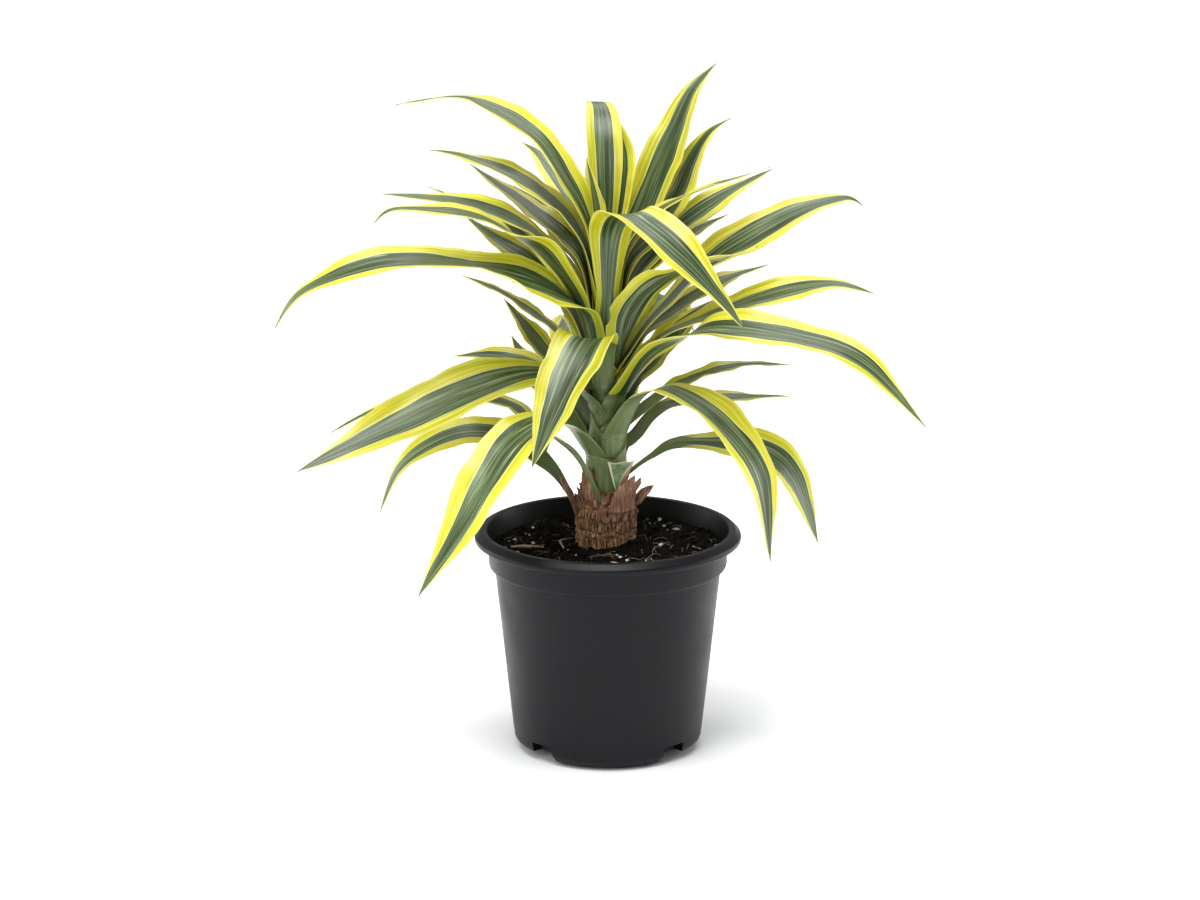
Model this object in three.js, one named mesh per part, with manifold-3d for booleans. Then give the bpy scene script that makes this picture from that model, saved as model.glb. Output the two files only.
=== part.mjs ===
// A potted corn plant: yellow-edged strap leaves on a short green shoot, which stands on a brown
// cane stump in a round black nursery pot filled with dark peat.
// Millimetres, +Z up. The origin is the middle of the pot's underside, on the surface it stands on.
// Azimuths are in degrees: 0 is +X, 90 is +Y, which is the back of the plant.

import * as THREE from 'three';
import { mergeVertices } from 'three/addons/utils/BufferGeometryUtils.js';
import Module from 'manifold-3d';

const wasm = await Module();
wasm.setup();

// ---- driving dimensions ----

const GAP = 0.3; // clearance between pieces that touch

const POT_HEIGHT = 143;
const POT_SIDES = 40;
const LIP_OUTER = 85; // radii of the rolled lip
const LIP_INNER = 77;
const LIP_DEPTH = 7;
const COLLAR_RADIUS = 76; // thicker band below the lip
const COLLAR_BOTTOM = 119;
const WALL_TOP_RADIUS = 72.3; // tapered wall, outside
const FOOT_RADIUS = 59.5;
const FOOT_ROUND = 10;
const WALL = 1.8;
const FLOOR = 3;
const FLOOR_RADIUS = 38; // the low middle of the floor, inside
const STEP_RADIUS = 46; // the raised outer part of the floor begins here
const STEP_HEIGHT = 14;
const SIDE_RISE = 5.5; // the pot stands on its front and back; its sides stop this far above the floor
const SIDE_SPAN = 110; // degrees that each raised side takes
const SIDE_INNER = 42;
const NOTCH_AZIMUTHS = [0, 46, 134, 180, 226, 314]; // drain notches in the foot
const NOTCH_WIDTH = 17;
const NOTCH_HEIGHT = 12;
const NOTCH_INNER = 53;

const SOIL_TOP = 131;
const SOIL_ROUGHNESS = 1.2;
const PERLITE_GRAINS = 26;

const STEM_X = -1; // the cane stands a little behind the middle of the pot
const STEM_Y = 8;
const TRUNK_FOOT = 84; // the cane goes this far down in the peat
const TRUNK_TOP = 168;
const TRUNK_RADIUS = 18.6;
const TRUNK_RINGS = 7; // old leaf scars above the soil
const STEM_TOP = 312;
// radius of the green shoot at a few heights above the floor
const STEM_TAPER = [[168, 13.5], [200, 12], [240, 9.5], [280, 7.5], [312, 4]];
const SHEATHS = 9; // leaf sheaths that wrap the shoot, one over another
const GOLDEN_ANGLE = 137.5;

const BLADE = 0.8; // leaf thickness at its margins
const MIDRIB = 0.5; // extra thickness along the middle, near the base
const LEAF_STEPS = 11; // along a leaf
const LEAF_STRIPS = 4; // across a leaf
const CHANNEL_RADIUS = 38; // how strongly a blade is channelled away from the shoot
const BASE_WIDTH = 11; // leaf width where it clasps the shoot
const RIPPLE = 1.3; // height of the waves along the margins

// ---- small helpers ----

const radians = THREE.MathUtils.degToRad;
const smooth = (x, a, b) => THREE.MathUtils.smoothstep(x, a, b);
const lerp = THREE.MathUtils.lerp;

// Seeded draws, so that the plant is the same each time.
function drawer(seed) {
  let state = seed;
  return () => {
    state = (state * 16807) % 2147483647;
    return state / 2147483647;
  };
}

// Straight-line value of a list of [place, value] pairs.
function along(pairs, place) {
  let i = 1;
  while (i < pairs.length - 1 && place > pairs[i][0]) i += 1;
  const [x0, y0] = pairs[i - 1];
  const [x1, y1] = pairs[i];
  const share = THREE.MathUtils.clamp((place - x0) / (x1 - x0), 0, 1);
  return lerp(y0, y1, share);
}

const stemRadius = (height) => along(STEM_TAPER, height);

function shell(points, faces) {
  const geometry = new THREE.BufferGeometry();
  geometry.setAttribute('position', new THREE.Float32BufferAttribute(points, 3));
  geometry.setIndex(faces);
  return geometry;
}

function toSolid(geometry) {
  let plain = geometry.clone();
  plain.deleteAttribute('normal');
  plain.deleteAttribute('uv');
  plain = mergeVertices(plain, 1e-4);
  const vertProperties = new Float32Array(plain.attributes.position.array);
  const triVerts = new Uint32Array(plain.index.array);
  return new wasm.Manifold(new wasm.Mesh({ numProp: 3, vertProperties, triVerts }));
}

function toGeometry(solid) {
  const mesh = solid.getMesh();
  return shell(Array.from(mesh.vertProperties), Array.from(mesh.triVerts));
}

// A closed body round the vertical axis: rows of points at given heights, with the radius and the
// height of each point from a formula, and a middle point that closes each end.
function turned(rows, sides, place) {
  const points = [];
  const faces = [];
  for (let row = 0; row < rows; row += 1) {
    for (let side = 0; side < sides; side += 1) {
      const angle = (side / sides) * 2 * Math.PI;
      const [radius, height] = place(row, angle);
      points.push(radius * Math.cos(angle), radius * Math.sin(angle), height);
    }
  }
  const corner = (row, side) => row * sides + (side % sides);
  for (let row = 0; row < rows - 1; row += 1) {
    for (let side = 0; side < sides; side += 1) {
      const a = corner(row, side);
      const b = corner(row, side + 1);
      const c = corner(row + 1, side + 1);
      const d = corner(row + 1, side);
      faces.push(a, b, c, a, c, d);
    }
  }
  const bottom = points.length / 3;
  points.push(0, 0, place(0, 0)[1]);
  const top = bottom + 1;
  points.push(0, 0, place(rows - 1, 0)[1]);
  for (let side = 0; side < sides; side += 1) {
    faces.push(bottom, corner(0, side + 1), corner(0, side));
    faces.push(top, corner(rows - 1, side), corner(rows - 1, side + 1));
  }
  return shell(points, faces);
}

// ---- materials ----

const finish = (color, roughness) => new THREE.MeshStandardMaterial({ color, roughness, metalness: 0 });
const blackPlastic = finish('#26262a', 0.45);
const peat = finish('#1c130d', 0.95);
const cane = finish('#7a5a42', 0.9);
const sheathGreen = finish('#6c8055', 0.55);
const leafGreen = finish('#a9b44a', 0.45);
const dryHusk = finish('#8a6546', 0.85);

const plant = new THREE.Group();

function add(name, geometry, material, parent = plant) {
  const mesh = new THREE.Mesh(geometry, material);
  mesh.name = name;
  parent.add(mesh);
}

// ---- pot ----

const wallRadius = (height) => lerp(FOOT_RADIUS, WALL_TOP_RADIUS, height / COLLAR_BOTTOM);

function potProfile() {
  const profile = [new THREE.Vector2(0, 0)];
  for (const turn of [0, 30, 60, 90]) {
    const out = wallRadius(FOOT_ROUND) - FOOT_ROUND + FOOT_ROUND * Math.sin(radians(turn));
    profile.push(new THREE.Vector2(out, FOOT_ROUND * (1 - Math.cos(radians(turn)))));
  }
  const lipBottom = POT_HEIGHT - LIP_DEPTH;
  profile.push(
    new THREE.Vector2(WALL_TOP_RADIUS, COLLAR_BOTTOM),
    new THREE.Vector2(COLLAR_RADIUS - 1.5, COLLAR_BOTTOM + 1.5),
    new THREE.Vector2(COLLAR_RADIUS, COLLAR_BOTTOM + 4),
    new THREE.Vector2(COLLAR_RADIUS + 0.5, lipBottom + 1),
    new THREE.Vector2(LIP_OUTER - 1, lipBottom),
    new THREE.Vector2(LIP_OUTER, lipBottom + 1.5),
    new THREE.Vector2(LIP_OUTER, lipBottom + 3.5),
    new THREE.Vector2(LIP_OUTER - 2.5, POT_HEIGHT - 1),
    new THREE.Vector2(LIP_OUTER - 5, POT_HEIGHT),
    new THREE.Vector2(LIP_INNER + 0.8, POT_HEIGHT),
    new THREE.Vector2(LIP_INNER, POT_HEIGHT - 1),
    new THREE.Vector2(COLLAR_RADIUS - WALL, lipBottom - 2),
    new THREE.Vector2(COLLAR_RADIUS - 2 * WALL, COLLAR_BOTTOM + 4),
    new THREE.Vector2(WALL_TOP_RADIUS - WALL, COLLAR_BOTTOM - 2),
    new THREE.Vector2(wallRadius(STEP_HEIGHT + 4) - WALL, STEP_HEIGHT + 4),
    new THREE.Vector2(wallRadius(STEP_HEIGHT) - 3 * WALL, STEP_HEIGHT),
    new THREE.Vector2(STEP_RADIUS, STEP_HEIGHT),
    new THREE.Vector2(FLOOR_RADIUS, FLOOR),
    new THREE.Vector2(0, FLOOR),
  );
  return profile;
}

// The space under one raised side of the pot, round the given azimuth.
function sideCut(azimuth) {
  const start = radians(azimuth - SIDE_SPAN / 2);
  const end = radians(azimuth + SIDE_SPAN / 2);
  const sector = new THREE.Shape();
  sector.absarc(0, 0, LIP_OUTER, start, end, false);
  sector.absarc(0, 0, SIDE_INNER, end, start, true);
  const settings = { depth: 2 * SIDE_RISE, bevelEnabled: false, curveSegments: 8 };
  return new THREE.ExtrudeGeometry(sector, settings).translate(0, 0, -SIDE_RISE);
}

function notchCut(azimuth) {
  const depth = LIP_OUTER - NOTCH_INNER;
  const notch = new THREE.BoxGeometry(depth, NOTCH_WIDTH, 2 * NOTCH_HEIGHT);
  notch.translate(NOTCH_INNER + depth / 2, 0, 0);
  return notch.rotateZ(radians(azimuth));
}

function pot() {
  let body = toSolid(new THREE.LatheGeometry(potProfile(), POT_SIDES).rotateX(Math.PI / 2));
  const cuts = [sideCut(0), sideCut(180), ...NOTCH_AZIMUTHS.map(notchCut)];
  for (const cut of cuts) body = body.subtract(toSolid(cut));
  return toGeometry(body);
}

// ---- soil ----

const innerRadius = (height) => {
  const corner = [STEP_HEIGHT, wallRadius(STEP_HEIGHT) - 3 * WALL];
  const wall = [STEP_HEIGHT + 4, wallRadius(STEP_HEIGHT + 4) - WALL];
  const high = [COLLAR_BOTTOM - 2, WALL_TOP_RADIUS - WALL];
  const collar = [COLLAR_BOTTOM + 4, COLLAR_RADIUS - 2 * WALL];
  const top = [POT_HEIGHT - LIP_DEPTH - 2, COLLAR_RADIUS - WALL];
  return along([corner, wall, high, collar, top], height);
};

function soilRise(x, y) {
  const waves = Math.sin(x * 0.31 + 1) * Math.sin(y * 0.27) + 0.6 * Math.sin(x * 0.7 - y * 0.55);
  return SOIL_ROUGHNESS * 0.5 * waves;
}

function soilBody() {
  const rings = [72, 56, 40, 20]; // radii of the rows on the surface
  const side = [
    [FLOOR_RADIUS - GAP, FLOOR + GAP],
    [STEP_RADIUS - GAP, STEP_HEIGHT + GAP],
    [innerRadius(STEP_HEIGHT) - GAP, STEP_HEIGHT + GAP],
  ];
  for (const height of [STEP_HEIGHT + 4, COLLAR_BOTTOM - 2, COLLAR_BOTTOM + 4]) {
    side.push([innerRadius(height) - GAP, height]);
  }
  return turned(side.length + rings.length, 32, (row, angle) => {
    if (row < side.length) return side[row];
    const radius = rings[row - side.length];
    const rise = soilRise(radius * Math.cos(angle), radius * Math.sin(angle));
    return [radius, SOIL_TOP + rise];
  });
}

function twig(from, to, radius) {
  const route = new THREE.LineCurve3(new THREE.Vector3(...from), new THREE.Vector3(...to));
  const section = new THREE.Shape(
    [0, 72, 144, 216, 288].map((turn) => new THREE.Vector2(
      radius * Math.cos(radians(turn)),
      radius * Math.sin(radians(turn)),
    )),
  );
  return new THREE.ExtrudeGeometry(section, { steps: 2, bevelEnabled: false, extrudePath: route });
}

function soil() {
  let body = toSolid(soilBody());
  const draw = drawer(11);
  for (let grain = 0; grain < PERLITE_GRAINS; grain += 1) {
    const angle = draw() * 2 * Math.PI;
    const out = 26 + 43 * Math.sqrt(draw());
    const size = 1 + 1.1 * draw();
    const x = out * Math.cos(angle);
    const y = out * Math.sin(angle);
    const pearl = new THREE.IcosahedronGeometry(size, 0);
    pearl.rotateX(draw() * 3);
    pearl.translate(x, y, SOIL_TOP + soilRise(x, y) + 0.1 * size);
    body = body.add(toSolid(pearl));
  }
  body = body.add(toSolid(twig([-62, -3, SOIL_TOP - 0.5], [-40, -5, SOIL_TOP + 1.6], 1)));
  body = body.add(toSolid(twig([-30, 12, SOIL_TOP + 0.6], [-26, -8, SOIL_TOP + 0.8], 0.9)));
  body = body.add(toSolid(twig([2, -38, SOIL_TOP + 0.4], [9, -47, SOIL_TOP + 1], 0.9)));
  const hole = new THREE.CylinderGeometry(TRUNK_RADIUS + 2, TRUNK_RADIUS + 2, 100, 30);
  hole.rotateX(Math.PI / 2);
  hole.translate(STEM_X, STEM_Y, TRUNK_FOOT - GAP + 50);
  return toGeometry(body.subtract(toSolid(hole)));
}

// ---- cane and shoot ----

// The cane is ringed with old leaf scars: each ring bulges and its lower edge is fibrous.
function trunk() {
  const rows = 24;
  const sides = 24;
  return turned(rows, sides, (row, angle) => {
    if (row === 0) return [TRUNK_RADIUS - 4, TRUNK_FOOT];
    const height = lerp(TRUNK_FOOT + 4, TRUNK_TOP, (row - 1) / (rows - 2));
    const ring = ((height - SOIL_TOP) / (TRUNK_TOP - SOIL_TOP)) * TRUNK_RINGS;
    const scar = 0.7 * Math.abs(Math.sin(Math.PI * ring + 0.4 * Math.sin(2 * angle)));
    const fibre = 0.35 * Math.sin(12 * angle + 2 * Math.floor(ring));
    const neck = 3.2 * smooth(height, 150, TRUNK_TOP);
    const lump = 0.8 * Math.sin(2 * angle + 0.6);
    return [TRUNK_RADIUS - 0.6 - neck + scar + fibre + lump, height];
  });
}

// Each sheath's edge runs round the shoot on a slant, lowest opposite its own leaf. The shoot is
// thickest just under an edge and steps in above it.
function sheathEdge(sheath, angle) {
  const facing = radians(250 + sheath * GOLDEN_ANGLE);
  const foot = lerp(TRUNK_TOP + 12, STEM_TOP - 8, sheath / (SHEATHS - 1));
  return foot + 7 * Math.cos(angle - facing);
}

function stemSurface(height, angle) {
  let nearest = STEM_TOP + 10;
  for (let sheath = 0; sheath < SHEATHS; sheath += 1) {
    const edge = sheathEdge(sheath, angle);
    if (edge > height && edge < nearest) nearest = edge;
  }
  const flare = 1.1 * (1 - THREE.MathUtils.clamp((nearest - height) / 16, 0, 1));
  return stemRadius(height) - 1.3 + flare;
}

function stem() {
  const rows = 28;
  return turned(rows, 18, (row, angle) => {
    const height = lerp(TRUNK_TOP + GAP, STEM_TOP, row / (rows - 1));
    return [stemSurface(height, angle), height];
  });
}

// ---- leaves ----

// A smooth curve through its points, by Catmull-Rom.
function curvePoint(points, share) {
  const last = points.length - 1;
  const span = Math.min(Math.floor(share * last), last - 1);
  const t = share * last - span;
  const before = points[Math.max(span - 1, 0)];
  const from = points[span];
  const to = points[span + 1];
  const after = points[Math.min(span + 2, last)];
  return from.map((value, axis) => {
    const leave = (to[axis] - before[axis]) / 2;
    const arrive = (after[axis] - from[axis]) / 2;
    const rise = to[axis] - value;
    return value + t * leave + t * t * (3 * rise - 2 * leave - arrive)
      + t * t * t * (leave + arrive - 2 * rise);
  });
}

// The midrib, round the shoot's axis: [distance out, height] points whose azimuth swings from the
// first value at the shoot to the second at the tip. Returns points at even steps along it.
function midrib(leaf) {
  const clasp = stemRadius(leaf.from) + GAP + BLADE + 0.4;
  const route = [[leaf.out ?? clasp, leaf.from], ...leaf.run];
  const [first, last] = leaf.swing ?? [0, route[route.length - 1][0]];
  const fine = [];
  for (let i = 0; i <= 160; i += 1) {
    const [out, height] = curvePoint(route, i / 160);
    const turn = leaf.swing ? smooth(out, first, last) : THREE.MathUtils.clamp(out / last, 0, 1);
    const azimuth = radians(lerp(leaf.azimuth[0], leaf.azimuth[1], turn));
    fine.push(new THREE.Vector3(out * Math.cos(azimuth), out * Math.sin(azimuth), height));
  }
  const lengths = [0];
  for (let i = 1; i < fine.length; i += 1) {
    lengths.push(lengths[i - 1] + fine[i].distanceTo(fine[i - 1]));
  }
  const total = lengths[lengths.length - 1];
  const spots = [];
  let i = 1;
  for (let step = 0; step <= LEAF_STEPS; step += 1) {
    const target = (step / LEAF_STEPS) * total;
    while (i < fine.length - 1 && lengths[i] < target) i += 1;
    const share = (target - lengths[i - 1]) / (lengths[i] - lengths[i - 1]);
    const point = fine[i - 1].clone().lerp(fine[i], share);
    const ahead = fine[i].clone().sub(fine[i - 1]).normalize();
    spots.push({ point, ahead, share: step / LEAF_STEPS });
  }
  return spots;
}

// Half the blade's width at a share of its length: clasping base, slight neck, lance-shaped blade.
function halfWidth(leaf, share) {
  const base = (leaf.base ?? BASE_WIDTH) / leaf.width;
  const widest = leaf.widest ?? 0.45;
  let part = 1 - ((share - widest) / (1 - widest)) ** 2;
  if (share < widest) part = lerp(base, 1, smooth(share, 0.04, widest));
  if (leaf.cut) part = lerp(base, 1, share);
  return (leaf.width / 2) * Math.max(part, 0.06);
}

// One leaf: a thin closed blade. Near the shoot its section follows the circle round the shoot, so
// that leaves clasp it one inside another; farther out it is a shallow channel that rolls to one
// side by leaf.roll degrees, with waves along both margins.
function leafGeometry(leaf, seed) {
  const draw = drawer(seed);
  const phases = [draw() * 6.28, draw() * 6.28];
  const waves = 2.4 + 1.4 * draw();
  const upper = [];
  const lower = [];
  for (const { point, ahead, share } of midrib(leaf)) {
    const out = Math.hypot(point.x, point.y);
    const round = new THREE.Vector3(-point.y / out, point.x / out, 0);
    const up = ahead.clone().cross(round).normalize();
    const right = ahead.clone().cross(up).normalize();
    const steep = Math.max(ahead.z, 0);
    const [near, far] = leaf.roll ?? [0, 0];
    const [start, end] = leaf.turn ?? [0.3, 0.65];
    const plain = near * smooth(share, 0.04, 0.2) + (far - near) * smooth(share, start, end);
    const roll = radians(leaf.rolls ? along(leaf.rolls, share) : plain);
    const tiltedUp = up.clone().multiplyScalar(Math.cos(roll)).addScaledVector(right, Math.sin(roll));
    const tiltedRight = ahead.clone().cross(tiltedUp).normalize();
    const half = halfWidth(leaf, share);
    const channel = smooth(share, 0.05, 0.4) / (leaf.channel ?? CHANNEL_RADIUS);
    const bend = Math.max(steep / out, channel * Math.min(1, half / 8));
    for (let strip = 0; strip <= LEAF_STRIPS; strip += 1) {
      const across = (strip / LEAF_STRIPS) * 2 - 1;
      const angle = across * half * bend;
      const side = Math.sin(angle) / bend;
      const margin = across > 0 ? 1 : 0;
      const ripple = RIPPLE * Math.sin(waves * 6.28 * share + phases[margin]);
      const wave = ripple * across ** 2 * smooth(share, 0.15, 0.4) * (half / 15);
      const lift = (1 - Math.cos(angle)) / bend + (leaf.cut ? 0 : wave);
      const face = tiltedUp.clone().multiplyScalar(Math.cos(angle))
        .addScaledVector(tiltedRight, -Math.sin(angle));
      const middle = point.clone().addScaledVector(tiltedRight, side).addScaledVector(tiltedUp, lift);
      const thick = (BLADE + MIDRIB * (1 - Math.abs(across)) * (1 - share)) / 2;
      upper.push(middle.clone().addScaledVector(face, thick));
      lower.push(middle.clone().addScaledVector(face, -thick));
    }
  }
  return blade(upper, lower, LEAF_STRIPS + 1);
}

// Closes an upper and a lower sheet of points, both split into triangles the same way.
function blade(upper, lower, perRow) {
  const points = [];
  for (const p of [...upper, ...lower]) points.push(p.x, p.y, p.z);
  const under = upper.length;
  const rows = upper.length / perRow;
  const faces = [];
  const quad = (a, b, c, d) => faces.push(a, b, c, a, c, d);
  for (let row = 0; row < rows - 1; row += 1) {
    for (let strip = 0; strip < perRow - 1; strip += 1) {
      const a = row * perRow + strip;
      const b = a + 1;
      const c = b + perRow;
      const d = a + perRow;
      faces.push(a, b, c, a, c, d);
      faces.push(under + a, under + c, under + b, under + a, under + d, under + c);
    }
    const left = row * perRow;
    const right = left + perRow - 1;
    quad(left + perRow, under + left + perRow, under + left, left);
    quad(right, under + right, under + right + perRow, right + perRow);
  }
  const end = (rows - 1) * perRow;
  for (let strip = 0; strip < perRow - 1; strip += 1) {
    quad(strip, under + strip, under + strip + 1, strip + 1);
    quad(end + strip + 1, under + end + strip + 1, under + end + strip, end + strip);
  }
  return shell(points, faces);
}

// from: height on the shoot; azimuth: at the shoot and at the tip; run: [out, height] points of the
// midrib; width: at the widest; roll: of the blade near the shoot and towards the tip, or rolls: at
// shares of its length; swing: how far out the azimuth begins and ends its change.
const LEAVES = [
  // lowest tier, on long narrow stalks
  { from: 151, azimuth: [180, 178], width: 25, rolls: [[0.02, 0], [0.1, -32]], base: 8, out: 19.8,
    run: [[26, 168], [38, 184], [60, 200], [88, 204], [113, 195], [133, 178], [145, 150]] },
  { from: 166, azimuth: [256, 166], width: 26, roll: [0, -14], base: 5, out: 19.4, swing: [19.4, 80],
    run: [[26, 177], [36, 202], [54, 215], [92, 222], [146, 212], [184, 192]] },
  { from: 176, azimuth: [20, 6], width: 31, roll: [20, 44], base: 9,
    run: [[30, 186], [50, 194], [98, 188], [121, 170], [137, 127]] },
  { from: 192, azimuth: [231, 223], width: 38, roll: [-8, -14],
    run: [[30, 211], [54, 222], [84, 213], [105, 194], [128, 165], [158, 128]] },
  { from: 194, azimuth: [28, 18], width: 22, roll: [0, 5], base: 10,
    run: [[22, 200], [40, 216], [81, 219], [124, 218]] },
  { from: 197, azimuth: [132, 130], width: 26,
    run: [[32, 206], [61, 224], [86, 241], [96, 250]] },
  { from: 204, azimuth: [88, 82], width: 30,
    run: [[34, 226], [76, 242], [116, 224], [138, 184]] },
  { from: 205, azimuth: [318, 322], width: 36, roll: [0, 4], base: 15,
    run: [[24, 228], [42, 239], [60, 239], [92, 225], [120, 196], [129, 142]] },
  { from: 207, azimuth: [148, 150], width: 28, roll: [0, -14],
    run: [[28, 226], [60, 241], [86, 244], [114, 240]] },
  { from: 208, azimuth: [18, 12], width: 24,
    run: [[24, 217], [40, 228], [65, 238], [90, 243], [121, 242]] },
  // middle tier, arching widely
  { from: 216, azimuth: [48, 43], width: 28,
    run: [[22, 232], [37, 241], [55, 254], [78, 268], [100, 276]] },
  { from: 219, azimuth: [101, 104], width: 30,
    run: [[32, 246], [70, 262], [112, 246], [136, 204]] },
  { from: 225, azimuth: [206, 202], width: 39, roll: [-30, -36],
    run: [[30, 243], [60, 248], [100, 239], [152, 220], [206, 199]] },
  { from: 228, azimuth: [320, 336], width: 34, roll: [-28, 18], turn: [0.16, 0.36],
    run: [[31, 257], [54, 272], [86, 283], [143, 280], [179, 267], [214, 230]] },
  { from: 230, azimuth: [150, 152], width: 27,
    run: [[26, 240], [44, 250], [60, 268], [74, 283]] },
  { from: 233, azimuth: [86, 84], width: 30,
    run: [[30, 264], [66, 288], [112, 276], [140, 238]] },
  { from: 238, azimuth: [258, 243], width: 40, widest: 0.38, base: 14,
    run: [[20, 258], [36, 273], [60, 260], [82, 236], [101, 205]] },
  { from: 240, azimuth: [2, -4], width: 30, roll: [0, 25],
    run: [[34, 266], [62, 278], [98, 292], [140, 302], [168, 297]] },
  { from: 243, azimuth: [172, 174], width: 22,
    run: [[24, 262], [44, 278], [68, 294], [92, 304]] },
  { from: 245, azimuth: [32, 28], width: 30,
    run: [[26, 266], [46, 276], [84, 293], [118, 301]] },
  { from: 248, azimuth: [12, 10], width: 36, roll: [0, 28],
    run: [[24, 270], [41, 288], [68, 312], [118, 340], [152, 350], [165, 345]] },
  { from: 249, azimuth: [160, 160], width: 30, roll: [0, -14],
    run: [[24, 284], [51, 311], [76, 325], [96, 338]] },
  { from: 251, azimuth: [220, 194], width: 38, widest: 0.36,
    rolls: [[0.13, 0], [0.23, -38], [0.33, -36], [0.46, -3], [0.62, -20]],
    run: [[18, 283], [35, 298], [63, 312], [101, 323], [150, 326], [194, 308], [211, 284]] },
  { from: 256, azimuth: [322, 350], width: 30, roll: [-32, -12],
    run: [[18, 282], [34, 303], [62, 317], [96, 328]] },
  { from: 256, azimuth: [204, 208], width: 28, roll: [22, -12], turn: [0.4, 0.55],
    run: [[18, 289], [39, 320], [60, 336], [92, 352], [143, 362], [160, 355]] },
  { from: 258, azimuth: [66, 60], width: 30,
    run: [[22, 286], [50, 318], [86, 324], [122, 300]] },
  { from: 261, azimuth: [166, 166], width: 24,
    run: [[18, 292], [34, 311], [58, 330], [86, 346], [116, 357]] },
  { from: 266, azimuth: [183, 184], width: 28, roll: [-6, -16],
    run: [[17, 300], [38, 327], [67, 346], [97, 355], [140, 360]] },
  // crown, rising steeply round the growing point
  { from: 268, azimuth: [30, 30], width: 24,
    run: [[22, 298], [40, 316], [62, 327], [90, 336]] },
  { from: 271, azimuth: [122, 124], width: 27,
    run: [[18, 305], [38, 319], [71, 334], [107, 346]] },
  { from: 272, azimuth: [268, 318], width: 37, widest: 0.5,
    run: [[14, 304], [22, 336], [42, 353], [64, 347], [84, 331], [102, 308], [113, 289]] },
  { from: 273, azimuth: [36, 28], width: 28, roll: [0, 14],
    run: [[22, 302], [48, 326], [84, 347], [120, 363]] },
  { from: 277, azimuth: [145, 151], width: 28,
    run: [[17, 314], [34, 329], [60, 345], [80, 356], [99, 368]] },
  { from: 278, azimuth: [44, 38], width: 30,
    run: [[18, 312], [40, 328], [60, 350], [71, 370], [84, 387], [101, 395]] },
  { from: 283, azimuth: [112, 115], width: 27, base: 9,
    run: [[17, 319], [46, 341], [80, 357], [108, 366], [130, 369]] },
  { from: 287, azimuth: [54, 47], width: 34, base: 9,
    run: [[15, 318], [37, 342], [53, 366], [67, 389], [82, 413], [103, 428]] },
  { from: 294, azimuth: [89, 88], width: 30, base: 8,
    run: [[15, 330], [35, 361], [76, 372], [116, 350]] },
  { from: 290, azimuth: [165, 172], width: 30, roll: [0, -8],
    run: [[16, 327], [40, 355], [68, 371], [93, 380], [112, 383]] },
  { from: 291, azimuth: [11, 17], width: 20, roll: [0, -10], base: 8,
    run: [[14, 326], [34, 346], [63, 358], [108, 369]] },
  { from: 299, azimuth: [151, 162], width: 35, base: 8,
    run: [[13, 337], [32, 370], [53, 393], [95, 412], [140, 407]] },
  { from: 306, azimuth: [92, 99], width: 24, base: 8,
    run: [[7.8, 336], [16, 378], [32, 401], [54, 407], [80, 394]] },
  { from: 307, azimuth: [250, 215], width: 13, base: 6,
    run: [[7, 330], [10, 356], [15, 382]] },
  { from: 298.5, azimuth: [62, 85], width: 27, base: 7, widest: 0.6,
    run: [[10.5, 334], [21, 364], [34, 388], [46, 401]] },
  // three more at the back
  { from: 226, azimuth: [66, 62], width: 28,
    run: [[28, 250], [60, 274], [96, 272], [124, 244]] },
  { from: 238, azimuth: [119, 119], width: 30,
    run: [[26, 264], [54, 290], [92, 298], [128, 276]] },
  { from: 181, azimuth: [112, 110], width: 28, base: 9,
    run: [[30, 200], [62, 216], [98, 200], [118, 160]] },
];

const name = (number) => `leaf_${String(number).padStart(2, '0')}`;

// ---- the whole plant ----

add('pot', pot(), blackPlastic);
add('soil', soil(), peat);

const shoot = new THREE.Group();
shoot.position.set(STEM_X, STEM_Y, 0);
plant.add(shoot);
add('trunk', trunk(), cane, shoot);
add('stem', stem(), sheathGreen, shoot);
LEAVES.forEach((leaf, i) => add(name(i + 1), leafGeometry(leaf, 101 + 17 * i), leafGreen, shoot));

// A leaf cut off short, at the front of the shoot, and the dry remains of older leaves.
const REMAINS = {
  leaf_stub: {
    from: 170, out: 17.8, azimuth: [294, 298], width: 20, base: 5, cut: true,
    run: [[19.4, 180], [22, 190]],
  },
  husk_front: {
    from: 157, out: 20.6, azimuth: [302, 334], width: 8, base: 25, cut: true, swing: [20.6, 24],
    run: [[21.6, 168], [24, 178]],
  },
  husk_left: {
    from: 152, out: 20.4, azimuth: [212, 196], width: 6, base: 5,
    run: [[23, 162], [27, 171], [32, 180]],
  },
  husk_right: {
    from: 161, out: 21, azimuth: [357, 350], width: 8, base: 7, widest: 0.1,
    run: [[24, 165], [31, 171]],
  },
};
for (const [piece, shape] of Object.entries(REMAINS)) {
  const material = piece === 'leaf_stub' ? sheathGreen : dryHusk;
  add(piece, leafGeometry(shape, 5), material, shoot);
}

export default plant;
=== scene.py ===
# A potted corn plant: yellow-edged strap leaves on a short green shoot, which stands on a brown cane
# in a round black nursery pot of dark peat. Blender's units are metres, +Z up. The origin is the
# middle of the pot's underside. Azimuths are in degrees: 0 is +X, 90 is +Y, the back of the plant.

import math
import random
from functools import partial

import bpy
import numpy as np
from mathutils import Matrix, Vector, noise


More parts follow.
